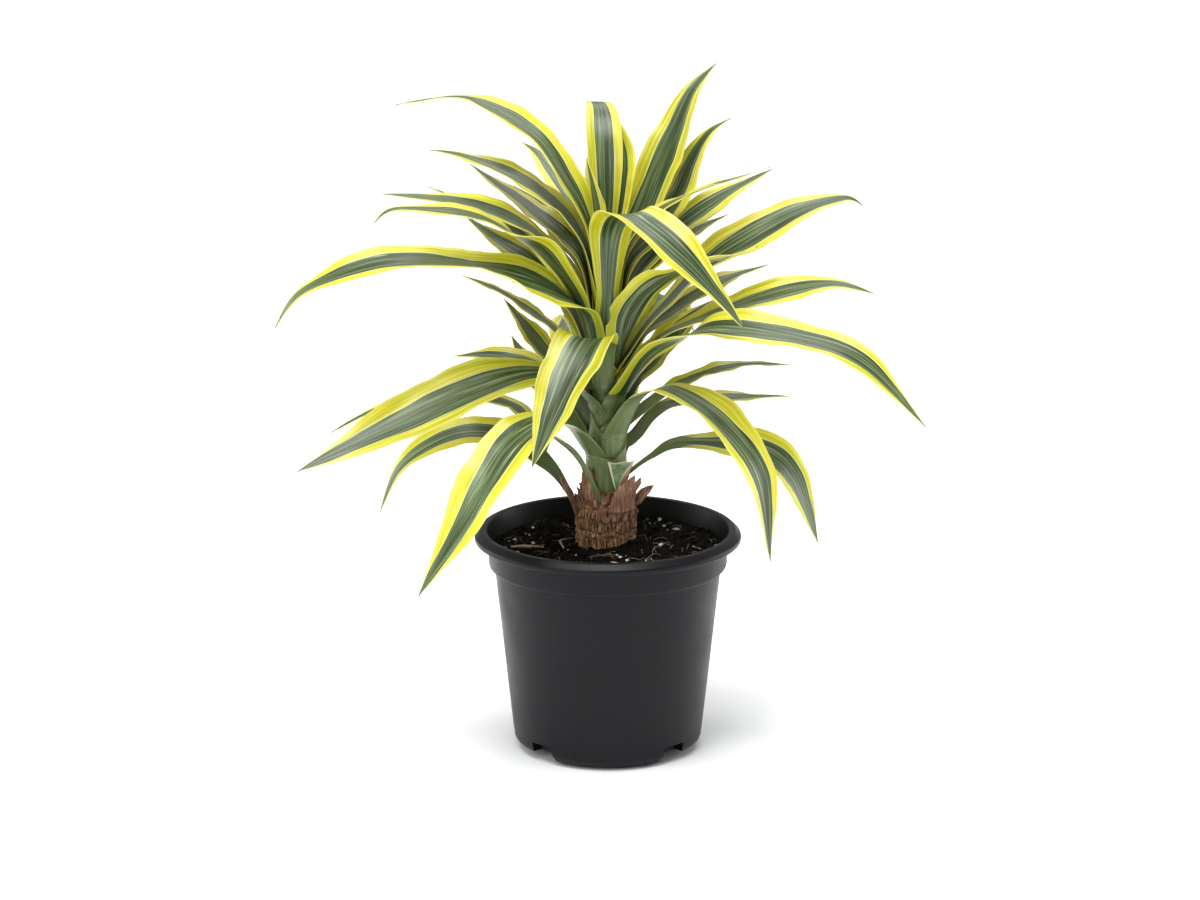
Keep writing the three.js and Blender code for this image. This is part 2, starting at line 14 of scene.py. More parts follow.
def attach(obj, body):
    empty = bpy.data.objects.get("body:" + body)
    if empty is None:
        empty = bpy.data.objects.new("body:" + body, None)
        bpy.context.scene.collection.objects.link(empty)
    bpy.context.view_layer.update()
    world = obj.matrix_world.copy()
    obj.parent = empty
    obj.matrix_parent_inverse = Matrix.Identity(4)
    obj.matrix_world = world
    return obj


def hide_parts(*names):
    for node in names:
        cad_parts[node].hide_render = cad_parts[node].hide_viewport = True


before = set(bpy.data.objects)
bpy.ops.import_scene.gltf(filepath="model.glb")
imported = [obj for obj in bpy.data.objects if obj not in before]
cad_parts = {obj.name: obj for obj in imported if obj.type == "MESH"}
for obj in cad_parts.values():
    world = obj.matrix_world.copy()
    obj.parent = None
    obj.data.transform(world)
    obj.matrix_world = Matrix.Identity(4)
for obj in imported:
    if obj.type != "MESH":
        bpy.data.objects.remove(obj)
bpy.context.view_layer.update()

MM = 0.001

# ---- driving sizes, in millimetres ----

POT_HEIGHT = 143
LIP_OUTER = 85
LIP_INNER = 77
LIP_DEPTH = 7
COLLAR_RADIUS = 76
COLLAR_BOTTOM = 119
WALL_TOP_RADIUS = 72.3
FOOT_RADIUS = 59.5
FOOT_ROUND = 10
WALL = 1.8
FLOOR = 3
FLOOR_RADIUS = 38
STEP_RADIUS = 46
STEP_HEIGHT = 14
SIDE_RISE = 5.5  # the pot stands on its front and back: its sides stop short of the floor
SIDE_SPAN = 110
SIDE_INNER = 42
NOTCH_AZIMUTHS = [0, 46, 134, 180, 226, 314]
NOTCH_WIDTH = 17
NOTCH_HEIGHT = 12
NOTCH_INNER = 53

# sides of the turned pieces, and rows of those with relief
POT_SIDES = 180
PEAT_SIDES = 220
PEAT_RINGS = 62
CANE_SIDES = 420
CANE_ROWS = 200
SHOOT_SIDES = 200
SHOOT_ROWS = 340

SOIL_TOP = 131
SOIL_BOTTOM = 112  # the peat goes on down to the pot's floor, where nothing shows
MOUND_HEIGHT = 4.5
FIBRES = 120

STEM_X = -1
STEM_Y = 8
TRUNK_TOP = 168
TRUNK_RADIUS = 18.6
RING_EDGES = [124, 130, 137.5, 141.5, 149.5, 155, 160]  # leaf scars on the lower part of the cane
RIBS = 54  # short upright ribs in each ring
SMALL_SCALES = 80
GOLDEN_ANGLE = 137.5
STEM_TOP = 312
STEM_TAPER = [(168, 13.5), (200, 12), (240, 9.5), (280, 7.5), (312, 4)]  # heights and radii
# the same, measured over the sheaths that wrap the shoot
SHEATHED = [(168, 14.6), (190, 14.3), (204, 13.2), (216, 11), (240, 9.4), (280, 7.3), (312, 4)]
SHEATH_FLARE = 1.5  # how far a sheath's upper edge stands out

GAP = 0.3
BLADE = 0.8
BASE_WIDTH = 11
CHANNEL_RADIUS = 38
MIDRIB = 1.3  # a leaf's thickness along its middle, near the shoot
RIPPLE = 1.3
LEAF_STEPS = 110
LEAF_STRIPS = 26
TAIL_STEPS = 12  # rows of a leaf's foot, which widens and sinks into the shoot
FOOT_LENGTH = 13
FOOT_SINK = 4.2
CLASP = 0.75  # how much wider a leaf is where it clasps the shoot
CLASP_LENGTH = 30
PATTERN_SHIFT = 0.7  # metres by which each leaf's pattern is moved along

AXIS = Vector((STEM_X, STEM_Y, 0)) * MM


# ---- small helpers ----

def smooth(x, low, high):
    t = np.clip((x - low) / (high - low), 0, 1)
    return t * t * (3 - 2 * t)


def lerp(a, b, t):
    return a + (b - a) * t


def drawer(seed):
    """Seeded draws, so that each leaf's waves are the same every time."""
    state = [seed]

    def draw():
        state[0] = (state[0] * 16807) % 2147483647
        return state[0] / 2147483647
    return draw


def stem_radius(height):
    heights, radii = zip(*STEM_TAPER)
    return np.interp(height, heights, radii)


def new_object(name, data):
    piece = bpy.data.objects.new(name, data)
    bpy.context.scene.collection.objects.link(piece)
    return piece


def select_only(piece=None):
    if bpy.context.mode != "OBJECT":
        bpy.ops.object.mode_set(mode="OBJECT")
    bpy.ops.object.select_all(action="DESELECT")
    if piece is not None:
        piece.select_set(True)
        bpy.context.view_layer.objects.active = piece


def edit_all():
    """Enters edit mode with the whole mesh selected."""
    bpy.ops.object.mode_set(mode="EDIT")
    bpy.ops.mesh.select_all(action="SELECT")


def face_outwards():
    """Turns the faces of the closed mesh in edit mode outwards, and leaves edit mode."""
    bpy.ops.mesh.select_all(action="SELECT")
    bpy.ops.mesh.normals_make_consistent(inside=False)
    bpy.ops.object.mode_set(mode="OBJECT")


def apply_place(piece):
    """Puts the piece's place into its mesh, so that its object sits at the origin."""
    select_only(piece)
    bpy.ops.object.transform_apply(location=True, rotation=True, scale=True)


def modify(piece, kind, **settings):
    """Adds a modifier and applies it."""
    select_only(piece)
    modifier = piece.modifiers.new(kind.lower(), kind)
    for key, value in settings.items():
        setattr(modifier, key, value)
    bpy.ops.object.modifier_apply(modifier=modifier.name)


def get_points(piece):
    points = np.empty(len(piece.data.vertices) * 3)
    piece.data.vertices.foreach_get("co", points)
    return points.reshape(-1, 3)


def set_points(piece, points):
    piece.data.vertices.foreach_set("co", np.asarray(points, float).ravel())
    piece.data.update()


def cut_away(piece, cutters):
    for cutter in cutters:
        modify(piece, "BOOLEAN", object=cutter, operation="DIFFERENCE", solver="EXACT")
        bpy.data.objects.remove(cutter)


def joined(pieces):
    select_only()
    for piece in pieces:
        piece.select_set(True)
    bpy.context.view_layer.objects.active = pieces[0]
    bpy.ops.object.join()
    return bpy.context.object


def mark(piece, name, values):
    """Gives each point of the piece a value that its material reads."""
    attribute = piece.data.attributes.new(name, "FLOAT", "POINT")
    attribute.data.foreach_set("value", values)


def shade(piece, angle):
    select_only(piece)
    bpy.ops.object.shade_smooth_by_angle(angle=math.radians(angle))


def dress(piece, materials):
    piece.data.materials.clear()
    for material in materials:
        piece.data.materials.append(material)


def finish_piece(piece, name, materials, replaces=()):
    piece.name = name
    piece.data.name = name
    dress(piece, materials)
    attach(piece, "root")
    if replaces:
        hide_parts(*replaces)


def turned(profile, sides):
    """A closed body round the vertical axis, drawn from its first ring to its last: each ring is the
    last one extruded up or down and resized. The profile holds (radius, height) in millimetres."""
    select_only()
    radius, height = profile[0]
    bpy.ops.mesh.primitive_circle_add(
        vertices=sides, radius=radius * MM, fill_type="NGON", location=(0, 0, height * MM))
    piece = bpy.context.object
    apply_place(piece)
    edit_all()
    bpy.ops.mesh.select_mode(type="EDGE")
    bpy.ops.mesh.region_to_loop()
    for next_radius, next_height in profile[1:]:
        rise = (next_height - height) * MM
        bpy.ops.mesh.extrude_edges_move(TRANSFORM_OT_translate={"value": (0, 0, rise)})
        size = next_radius / radius
        bpy.ops.transform.resize(value=(size, size, 1), center_override=(0, 0, next_height * MM))
        radius, height = next_radius, next_height
    bpy.ops.mesh.edge_face_add()
    face_outwards()
    return piece


def arc(middle, radius, start, end, steps):
    """Points of a round stretch of a profile, with its turn in degrees from outwards to up."""
    turns = [math.radians(lerp(start, end, i / steps)) for i in range(steps + 1)]
    return [(middle[0] + radius * math.cos(t), middle[1] + radius * math.sin(t)) for t in turns]


def copies(name, pattern, places):
    """One mesh that holds a copy of the pattern's mesh at each place, a 4x4 matrix."""
    points = get_points(pattern)
    faces = [tuple(f.vertices) for f in pattern.data.polygons]
    all_points = []
    all_faces = []
    for count, place in enumerate(places):
        turn = np.array(place.to_3x3())
        all_points.append(points @ turn.T + np.array(place.translation))
        first = count * len(points)
        all_faces.extend(tuple(first + v for v in face) for face in faces)
    mesh = bpy.data.meshes.new(name)
    mesh.from_pydata(np.concatenate(all_points).tolist(), [], all_faces)
    mesh.update()
    piece = new_object(name, mesh)
    bpy.data.objects.remove(pattern)
    return piece


# ---- camera, at the photograph's viewing angle ----

TARGET = Vector((-5, 0, 194.5)) * MM
CAMERA_DISTANCE = 2.5
CAMERA_PITCH = 14.9  # degrees down
FOCAL_MM = 118.3
SENSOR_MM = 36

camera_data = bpy.data.cameras.new("camera")
camera_data.lens = FOCAL_MM
camera_data.sensor_width = SENSOR_MM
camera_data.clip_end = 100
camera = new_object("camera", camera_data)
pitch = math.radians(CAMERA_PITCH)
camera.location = TARGET - CAMERA_DISTANCE * Vector((0, math.cos(pitch), -math.sin(pitch)))
camera.rotation_euler = (math.radians(90) - pitch, 0, 0)
bpy.context.scene.camera = camera


# ---- materials ----

def colour(hex_value):
    """An sRGB colour such as #26262a, as the linear values that Blender's sockets take."""
    parts = [int(hex_value[i:i + 2], 16) / 255 for i in (1, 3, 5)]
    linear = [c / 12.92 if c <= 0.04045 else ((c + 0.055) / 1.055) ** 2.4 for c in parts]
    return (*linear, 1)


def result(node):
    """What the node gives: its first output in use."""
    return next(socket for socket in node.outputs if socket.enabled)


def add(tree, kind, inputs=(), stops=(), **settings):
    """Adds a node. inputs: a socket's name or number, with a value or another node's output.
    stops: places and colours of a colour ramp. What is mixed is always two colours."""
    node = tree.nodes.new("ShaderNode" + kind)
    if kind == "Mix":
        node.data_type = "RGBA"
    for key, value in settings.items():
        setattr(node, key, value)
    for key, value in dict(inputs).items():
        if isinstance(value, bpy.types.Node):
            value = result(value)
        if isinstance(value, bpy.types.NodeSocket):
            tree.links.new(value, node.inputs[key])
        else:
            node.inputs[key].default_value = value
    for i, (place, hex_value) in enumerate(stops):
        elements = node.color_ramp.elements
        element = elements[i] if i < 2 else elements.new(place)
        element.position = place
        element.color = colour(hex_value)
    return node


def new_material(name, **constants):
    """A material with a bare Principled shader, whose constants are set on its own sockets. Also
    gives functions that add a node to it, and that link nodes to the shader's sockets."""
    material = bpy.data.materials.new(name)
    material.use_nodes = True
    shader = material.node_tree.nodes["Principled BSDF"]
    for key, value in constants.items():
        shader.inputs[key.replace("_", " ")].default_value = value

    def plug(**sources):
        for key, node in sources.items():
            material.node_tree.links.new(result(node), shader.inputs[key.replace("_", " ")])

    return material, partial(add, material.node_tree), plug


def mottled(name, scale, detail, stops, **constants):
    """A material whose colour follows fine noise. Also gives the noise and its coordinates."""
    material, put, plug = new_material(name, **constants)
    place = put("TexCoord").outputs["Object"]
    mottle = put("TexNoise", {"Vector": place, "Scale": scale, "Detail": detail})
    plug(Base_Color=put("ValToRGB", {0: mottle}, stops=stops))
    return material, put, plug, place, mottle


def leaf_blade(name, under):
    """Living leaf blade: waxy, with long parallel veins. A grey-green middle with dark and pale
    streaks lies between two lemon-yellow margins, and a thin pale line parts them. Near the shoot an
    old leaf is plain sheath green. The underside is duller and yellower."""
    material, put, plug = new_material(
        name, Subsurface_Weight=0.1, Subsurface_Scale=0.002, Subsurface_Radius=(1, 0.9, 0.25),
        IOR=1.45, Coat_Weight=0.1 if under else 0.25, Coat_Roughness=0.32)
    surface = put("SeparateXYZ", {0: put("UVMap", uv_map="surface")})
    shares = put("SeparateXYZ", {0: put("UVMap", uv_map="share")})
    leaf = put("SeparateXYZ", {0: put("UVMap", uv_map="leaf")})
    along = surface.outputs[1]  # metres
    side, share = shares.outputs[0], shares.outputs[1]  # -1 to 1 across, 0 to 1 along
    plain, tone = leaf.outputs[0], leaf.outputs[1]  # 1 where sheath green; another value per leaf
    from_rib = put("Math", {0: side}, operation="ABSOLUTE")
    sign = put("Math", {0: side}, operation="SIGN")
    depth = put("Math", {0: tone, 1: 37.0}, operation="MULTIPLY")

    def field(across, per_across, per_metre, detail):
        """Noise drawn out along the veins, which is another one on each leaf."""
        x = put("Math", {0: across, 1: per_across}, operation="MULTIPLY")
        y = put("Math", {0: along, 1: per_metre}, operation="MULTIPLY")
        spot = put("CombineXYZ", {0: x, 1: y, 2: depth})
        return put("TexNoise", {"Vector": spot, "Scale": 1.0, "Detail": detail})

    # where the margin starts, as a share of the half width: it wanders along the leaf
    wander = field(sign, 3.0, 11.0, 2.0)
    start = put("MapRange", {0: wander, 1: 0.3, 2: 0.7, 3: 0.42, 4: 0.66})
    towards_tip = put("MapRange", {0: share, 1: 0.8, 2: 1.0, 3: 0.0, 4: 0.3},
                      interpolation_type="SMOOTHSTEP")
    start = put("Math", {0: start, 1: towards_tip}, operation="ADD")
    start = put("Math", {0: start, 1: plain}, operation="ADD")
    beyond = put("Math", {0: from_rib, 1: start}, operation="SUBTRACT")
    in_margin = put("MapRange", {0: beyond, 1: -0.012, 2: 0.012})
    off_line = put("Math", {0: beyond}, operation="ABSOLUTE")
    on_line = put("MapRange", {0: off_line, 1: 0.004, 2: 0.022, 3: 0.75, 4: 0.0})

    # streaks that follow the veins: broad ones, hairlines, and a few long pale lines
    streak = field(side, 9.0, 16.0, 3.0)
    hair = field(side, 46.0, 16.0, 2.0)
    off_pale = put("Math", {0: field(side, 5.0, 4.0, 0.0), 1: 0.42}, operation="SUBTRACT")
    off_pale = put("Math", {0: off_pale}, operation="ABSOLUTE")
    pale_line = put("MapRange", {0: off_pale, 1: 0.004, 2: 0.012, 3: 0.5, 4: 0.0})

    greens = [(0.35, "#16230a"), (0.46, "#33471d"), (0.56, "#55693c"), (0.72, "#86976c")]
    yellows = [(0.32, "#adac10"), (0.5, "#d0c928"), (0.68, "#e8dd5c")]
    pales = ("#b3bd96", "#e3e9b8", "#ece78a")
    if under:
        greens = [(0.32, "#3c5526"), (0.46, "#587638"), (0.58, "#6f8b48"), (0.74, "#8fa566")]
        yellows = [(0.3, "#b5bd20"), (0.5, "#cfd22e"), (0.72, "#dfdc58")]
        pales = ("#a9bb78", "#d3dc94", "#e2e08c")
    green = put("ValToRGB", {0: streak}, stops=greens)
    dark = put("MapRange", {0: hair, 1: 0.3, 2: 0.47, 3: 0.85, 4: 0.0})
    green = put("Mix", {0: dark, 6: green, 7: colour(greens[0][1])})
    fine = put("MapRange", {0: hair, 1: 0.55, 2: 0.74, 3: 0.0, 4: 0.38})
    green = put("Mix", {0: fine, 6: green, 7: colour(greens[3][1])})
    green = put("Mix", {0: pale_line, 6: green, 7: colour(pales[0])})
    yellow = put("ValToRGB", {0: streak}, stops=yellows)
    # the margins deepen to olive towards the shoot, over nearly half the leaf: painted shade deep inside
    # the plant
    near_shoot = put("MapRange", {0: share, 1: 0.02, 2: 0.45, 3: 0.9, 4: 0.0})
    yellow = put("Mix", {0: near_shoot, 6: yellow, 7: colour("#a3ab0c")})
    faint = put("MapRange", {0: hair, 1: 0.5, 2: 0.75, 3: 0.0, 4: 0.4})
    yellow = put("Mix", {0: faint, 6: yellow, 7: colour("#cdd03c")})
    pale_rim = put("MapRange", {0: from_rib, 1: 0.86, 2: 1.0, 3: 0.0, 4: 0.5})
    yellow = put("Mix", {0: pale_rim, 6: yellow, 7: colour(pales[2])})
    both = put("Mix", {0: in_margin, 6: green, 7: yellow})
    lined = put("Mix", {0: on_line, 6: both, 7: colour(pales[1])})
    sheath = put("ValToRGB", {0: hair}, stops=[(0.3, "#53633a"), (0.5, "#687a48"), (0.7, "#85935f")])
    based = put("Mix", {0: plain, 6: lined, 7: sheath})
    brightness = put("MapRange", {0: tone, 1: 0.0, 2: 1.0, 3: 0.86, 4: 1.08})
    toned = put("HueSaturation", {"Value": brightness, "Color": based})
    dry = put("MapRange", {0: share, 1: 0.978, 2: 0.992})
    tipped = put("Mix", {0: dry, 6: toned, 7: colour("#7d6a4c")})

    gloss = put("MapRange", {0: hair, 1: 0.3, 2: 0.7, 3: 0.30 + 0.12 * under, 4: 0.42 + 0.12 * under})
    veins = put("Bump", {"Strength": 0.4, "Distance": 0.0002, "Height": hair})
    plug(Base_Color=tipped, Roughness=gloss, Normal=veins)
    return material


def moulded_polypropylene():
    """Black polypropylene, injection moulded: satin, with a very fine skin and faint scuffs."""
    material, put, plug, place, scuffs = mottled(
        "moulded_polypropylene", 45.0, 6.0, [(0.35, "#07070b"), (0.65, "#0c0c12")],
        IOR=1.49, Specular_IOR_Level=0.22)
    gloss = put("MapRange", {0: scuffs, 1: 0.3, 2: 0.7, 3: 0.36, 4: 0.48})
    grain = put("TexNoise", {"Vector": place, "Scale": 1400.0, "Detail": 2.0})
    skin = put("Bump", {"Strength": 0.12, "Distance": 0.0001, "Height": grain})
    plug(Roughness=gloss, Normal=skin)
    return material


def peat():
    """Moist milled peat: nearly black, with brown crumbs and fibres."""
    material, put, plug, _, crumbs = mottled(
        "peat", 420.0, 5.0, [(0.36, "#040202"), (0.56, "#0b0705"), (0.74, "#21150d")],
        Roughness=1.0, Specular_IOR_Level=0.15)
    plug(Normal=put("Bump", {"Strength": 0.8, "Distance": 0.0006, "Height": crumbs}))
    return material


def perlite():
    """Expanded perlite: a pale grey-white volcanic glass foam, matt, dusted with peat."""
    stops = [(0.34, "#77716a"), (0.45, "#cfccc3"), (0.62, "#ecebe6")]
    return mottled("perlite", 500.0, 3.0, stops, Roughness=0.95)[0]


def dead_fibre(name, crack_and_shade, dark, middle, light):
    """Dry dead plant tissue: brown, matt, with fibres that run up it and nearly black cracks. Where a piece
    is marked, the crack colour also paints shade into its recesses.
    """
    material, put, plug = new_material(name, Roughness=0.85)
    place = put("TexCoord").outputs["Object"]
    stretch = put("Mapping", {"Vector": place, "Scale": (900, 900, 90)})
    fibres = put("TexNoise", {"Vector": stretch, "Scale": 1.0, "Detail": 4.0})
    tone = put("ValToRGB", {0: fibres}, stops=[(0.34, dark), (0.5, middle), (0.68, light)])
    patches = put("TexNoise", {"Vector": place, "Scale": 130.0, "Detail": 3.0})
    shade_by = put("MapRange", {0: patches, 1: 0.35, 2: 0.65, 3: 0.0, 4: 0.55})
    patched = put("Mix", {0: shade_by, 6: tone, 7: colour(dark)})
    # the crack mark: real dark cracks, and painted shade in the cane's grooves, rib gaps and under torn
    # layer edges
    depth = put("Attribute", attribute_name="crack_and_shade")
    cracked_and_shaded = put("Mix", {0: depth.outputs["Fac"], 6: patched, 7: colour(crack_and_shade)})
    bumps = put("Bump", {"Strength": 0.6, "Distance": 0.0004, "Height": fibres})
    plug(Base_Color=cracked_and_shaded, Normal=bumps)
    return material


def leaf_sheath():
    """Living leaf sheath: smooth, grey-green, finely ribbed, with a thin dry brown upper edge."""
    material, put, plug = new_material("leaf_sheath", Roughness=0.48, IOR=1.45)
    place = put("TexCoord").outputs["Object"]
    stretch = put("Mapping", {"Vector": place, "Scale": (700, 700, 22)})
    ribs = put("TexNoise", {"Vector": stretch, "Scale": 1.0, "Detail": 2.0})
    green = put("ValToRGB", {0: ribs}, stops=[(0.3, "#5b6b40"), (0.5, "#687a48"), (0.7, "#7b8b57")])
    below = put("Attribute", attribute_name="below_edge")  # metres
    tan = put("MapRange", {0: below.outputs["Fac"], 1: 0.0010, 2: 0.0060, 3: 0.6, 4: 0.0})
    rimmed = put("Mix", {0: tan, 6: green, 7: colour("#8d8a5e")})
    edge = put("MapRange", {0: below.outputs["Fac"], 1: 0.0006, 2: 0.0015, 3: 1.0, 4: 0.0})
    brown = put("Mix", {0: edge, 6: rimmed, 7: colour("#3a2417")})
    bumps = put("Bump", {"Strength": 0.3, "Distance": 0.0002, "Height": ribs})
    plug(Base_Color=brown, Normal=bumps)
    return material


def cut_leaf():
    """The stump of a cut leaf: grey-green, with cream margins and a dry tan cut edge."""
    material, put, plug = new_material("cut_leaf_base", Roughness=0.5, IOR=1.45)
    shares = put("SeparateXYZ", {0: put("UVMap", uv_map="share")})
    side, share = shares.outputs[0], shares.outputs[1]
    place = put("TexCoord").outputs["Object"]
    mottle = put("TexNoise", {"Vector": place, "Scale": 300.0, "Detail": 3.0})
    green = put("ValToRGB", {0: mottle}, stops=[(0.35, "#5f7450"), (0.55, "#7a8f66"), (0.7, "#98a884")])
    right = put("Math", {0: side, 1: -1.0}, operation="MULTIPLY")
    slant = put("Math", {0: share, 1: -1.4, 2: right}, operation="MULTIPLY_ADD")
    dried = put("MapRange", {0: slant, 1: -0.44, 2: -0.4})
    browned = put("Mix", {0: dried, 6: green, 7: colour("#b08a6c")})
    off_line = put("Math", {0: slant, 1: 0.44}, operation="ADD")
    off_line = put("Math", {0: off_line}, operation="ABSOLUTE")
    line = put("MapRange", {0: off_line, 1: 0.05, 2: 0.1, 3: 1.0, 4: 0.0})
    lined = put("Mix", {0: line, 6: browned, 7: colour("#d6d2ae")})
    rim = put("MapRange", {0: side, 1: 0.78, 2: 0.84})
    creamed = put("Mix", {0: rim, 6: lined, 7: colour("#d6d2ae")})
    cut = put("MapRange", {0: share, 1: 0.95, 2: 0.99})
    trimmed = put("Mix", {0: cut, 6: creamed, 7: colour("#cfcaa6")})
    plug(Base_Color=trimmed)
    return material


BLADE_UPPER = leaf_blade("leaf_blade_upper", under=False)
BLADE_UNDER = leaf_blade("leaf_blade_under", under=True)
POLYPROPYLENE = moulded_polypropylene()
PEAT = peat()
PERLITE = perlite()
# the cane's first colour is for its cracks and for the painted shade in its recesses
CANE = dead_fibre("cane_bark", "#120803", "#68462c", "#a07650", "#d6ae86")
ROOT = dead_fibre("dry_root", "#5a4636", "#86705a", "#b3a089", "#d6cab5")
HUSK = dead_fibre("dry_husk", "#2b170f", "#6b4636", "#9a705a", "#c39c84")
SHEATH = leaf_sheath()
CUT_LEAF = cut_leaf()


# ---- pot ----

def wall_radius(height):
    return lerp(FOOT_RADIUS, WALL_TOP_RADIUS, height / COLLAR_BOTTOM)


def side_cutter(azimuth):
    """The space under one raised side of the pot: an upright rectangle, spun round the pot's axis."""
    select_only()
    width = LIP_OUTER - SIDE_INNER
    bpy.ops.mesh.primitive_plane_add(
        size=1, location=((SIDE_INNER + width / 2) * MM, 0, 0), rotation=(math.radians(90), 0, 0))
    cutter = bpy.context.object
    cutter.scale = (width * MM, 2 * SIDE_RISE * MM, 1)
    apply_place(cutter)
    edit_all()
    bpy.ops.mesh.spin(steps=40, angle=math.radians(SIDE_SPAN), center=(0, 0, 0), axis=(0, 0, 1))
    face_outwards()
    cutter.rotation_euler = (0, 0, math.radians(azimuth + SIDE_SPAN / 2))
    apply_place(cutter)
    return cutter


def notch_cutter(azimuth):
    select_only()
    depth = LIP_OUTER - NOTCH_INNER
    turn = math.radians(azimuth)
    out = (NOTCH_INNER + depth / 2) * MM
    bpy.ops.mesh.primitive_cube_add(
        size=1, location=(out * math.cos(turn), out * math.sin(turn), 0), rotation=(0, 0, turn))
    cutter = bpy.context.object
    cutter.scale = (depth * MM, NOTCH_WIDTH * MM, 2 * NOTCH_HEIGHT * MM)
    apply_place(cutter)
    return cutter


def pot():
    lip_bottom = POT_HEIGHT - LIP_DEPTH
    profile = [(4, 0), (30, 0), (40, 0)]
    profile += arc((wall_radius(FOOT_ROUND) - FOOT_ROUND, FOOT_ROUND), FOOT_ROUND, -90, 0, 12)
    profile += [(wall_radius(h), h) for h in (20, 45, 70, 95, 112)]
    profile += [(WALL_TOP_RADIUS - 0.05, COLLAR_BOTTOM - 0.6)]
    profile += arc((COLLAR_RADIUS - 2.4, COLLAR_BOTTOM + 2.4), 2.4, -70, 0, 6)
    profile += [(COLLAR_RADIUS + 0.2, COLLAR_BOTTOM + 9), (COLLAR_RADIUS + 0.5, lip_bottom - 0.4)]
    profile += [(COLLAR_RADIUS + 0.9, lip_bottom)]
    profile += arc((LIP_OUTER - 1.4, lip_bottom + 1.4), 1.4, -90, 0, 5)
    profile += arc((LIP_OUTER - 2.2, lip_bottom + 2.6), 2.2, 0, 40, 4)
    profile += [(LIP_OUTER - 2.4, POT_HEIGHT - 1.6)]
    profile += arc((LIP_OUTER - 4.4, POT_HEIGHT - 1.6), 1.6, 45, 90, 4)
    profile += arc((LIP_INNER + 1.2, POT_HEIGHT - 1.2), 1.2, 90, 180, 5)
    collar_inner = COLLAR_RADIUS - WALL
    profile += [(collar_inner, lip_bottom - 2), (collar_inner - 0.4, COLLAR_BOTTOM + 8)]
    profile += [(collar_inner - WALL, COLLAR_BOTTOM + 4), (WALL_TOP_RADIUS - WALL, COLLAR_BOTTOM - 2)]
    profile += [(wall_radius(STEP_HEIGHT + 4) - WALL, STEP_HEIGHT + 4)]
    profile += [(wall_radius(STEP_HEIGHT) - 3 * WALL, STEP_HEIGHT), (STEP_RADIUS, STEP_HEIGHT)]
    profile += [(FLOOR_RADIUS, FLOOR), (4, FLOOR)]
    piece = turned(profile, POT_SIDES)
    cutters = [side_cutter(0), side_cutter(180)] + [notch_cutter(a) for a in NOTCH_AZIMUTHS]
    cut_away(piece, cutters)
    shade(piece, 35)
    finish_piece(piece, "pot_shell", [POLYPROPYLENE], ["pot"])


pot()


# ---- soil, perlite and roots ----

def inner_radius(height):
    heights = [COLLAR_BOTTOM - 2, COLLAR_BOTTOM + 4, POT_HEIGHT - LIP_DEPTH - 2]
    radii = [WALL_TOP_RADIUS - WALL, COLLAR_RADIUS - 2 * WALL, COLLAR_RADIUS - WALL]
    return np.interp(height, heights, radii)


def soil_rise(x, y):
    """How far the peat stands over its mean level at a place, all in millimetres."""
    waves = math.sin(x * 0.31 + 1) * math.sin(y * 0.27) + 0.6 * math.sin(x * 0.7 - y * 0.55)
    lumps = noise.fractal(Vector((x, y, 7)) * 0.28, 1.0, 2.2, 5)
    mound = MOUND_HEIGHT * math.exp(-((x - 18) ** 2 + (y + 2) ** 2) / 170)  # against the cane's right side
    return 0.6 * waves + 1.1 * lumps + mound


def soil_at(x, y):
    """The point of the peat's surface at a place in millimetres, in metres."""
    return Vector((x, y, SOIL_TOP + soil_rise(x, y))) * MM


def soil():
    edge = inner_radius(SOIL_TOP) - 0.1
    profile = [(10, SOIL_BOTTOM), (inner_radius(SOIL_BOTTOM) - 1, SOIL_BOTTOM)]
    profile += [(inner_radius(h) - GAP, h) for h in (117, 123, 127)]
    profile += [(edge * share, SOIL_TOP) for share in np.linspace(1, 0.24, PEAT_RINGS)]
    piece = turned(profile, PEAT_SIDES)
    points = get_points(piece) / MM
    for point in points:
        if point[2] > SOIL_TOP - 1:
            point[2] += soil_rise(point[0], point[1])
    set_points(piece, points * MM)
    cut_away(piece, [trunk_hole()])
    shade(piece, 60)
    finish_piece(piece, "peat_bed", [PEAT], ["soil"])


def trunk_hole():
    select_only()
    bpy.ops.mesh.primitive_cylinder_add(
        vertices=64, radius=(TRUNK_RADIUS - 1) * MM, depth=60 * MM,
        location=AXIS + Vector((0, 0, SOIL_TOP * MM)))
    return bpy.context.object


def lump(detail, roughness, seed):
    """A rough pebble of radius 1 m, as the pattern for crumbs and grains."""
    select_only()
    bpy.ops.mesh.primitive_ico_sphere_add(subdivisions=detail, radius=1)
    pattern = bpy.context.object
    for vertex in pattern.data.vertices:
        vertex.co *= 1 + roughness * noise.noise(vertex.co * 1.7 + Vector((seed, 0, 0)))
    return pattern


def scatter(seed, count, smallest, largest, sink, inner, outer, flat=0.6):
    """Places for lumps on the peat: sizes and distances from the pot's axis are in millimetres."""
    rng = random.Random(seed)
    places = []
    while len(places) < count:
        out = math.sqrt(rng.uniform(inner ** 2, outer ** 2))
        turn = rng.uniform(0, 2 * math.pi)
        x, y = out * math.cos(turn), out * math.sin(turn)
        if math.hypot(x - STEM_X, y - STEM_Y) < TRUNK_RADIUS:
            continue
        size = lerp(smallest, largest, rng.random() ** 2.5) * MM
        spin = Matrix.Rotation(rng.uniform(0, 6.3), 4, "Z") @ Matrix.Rotation(
            rng.uniform(-0.6, 0.6), 4, "X")
        scale = Matrix.Diagonal((size * rng.uniform(0.8, 1.7), size, size * rng.uniform(flat, 1), 1))
        spot = soil_at(x, y) + Vector((0, 0, size * (0.5 - sink)))
        places.append(Matrix.Translation(spot) @ spin @ scale)
    return places


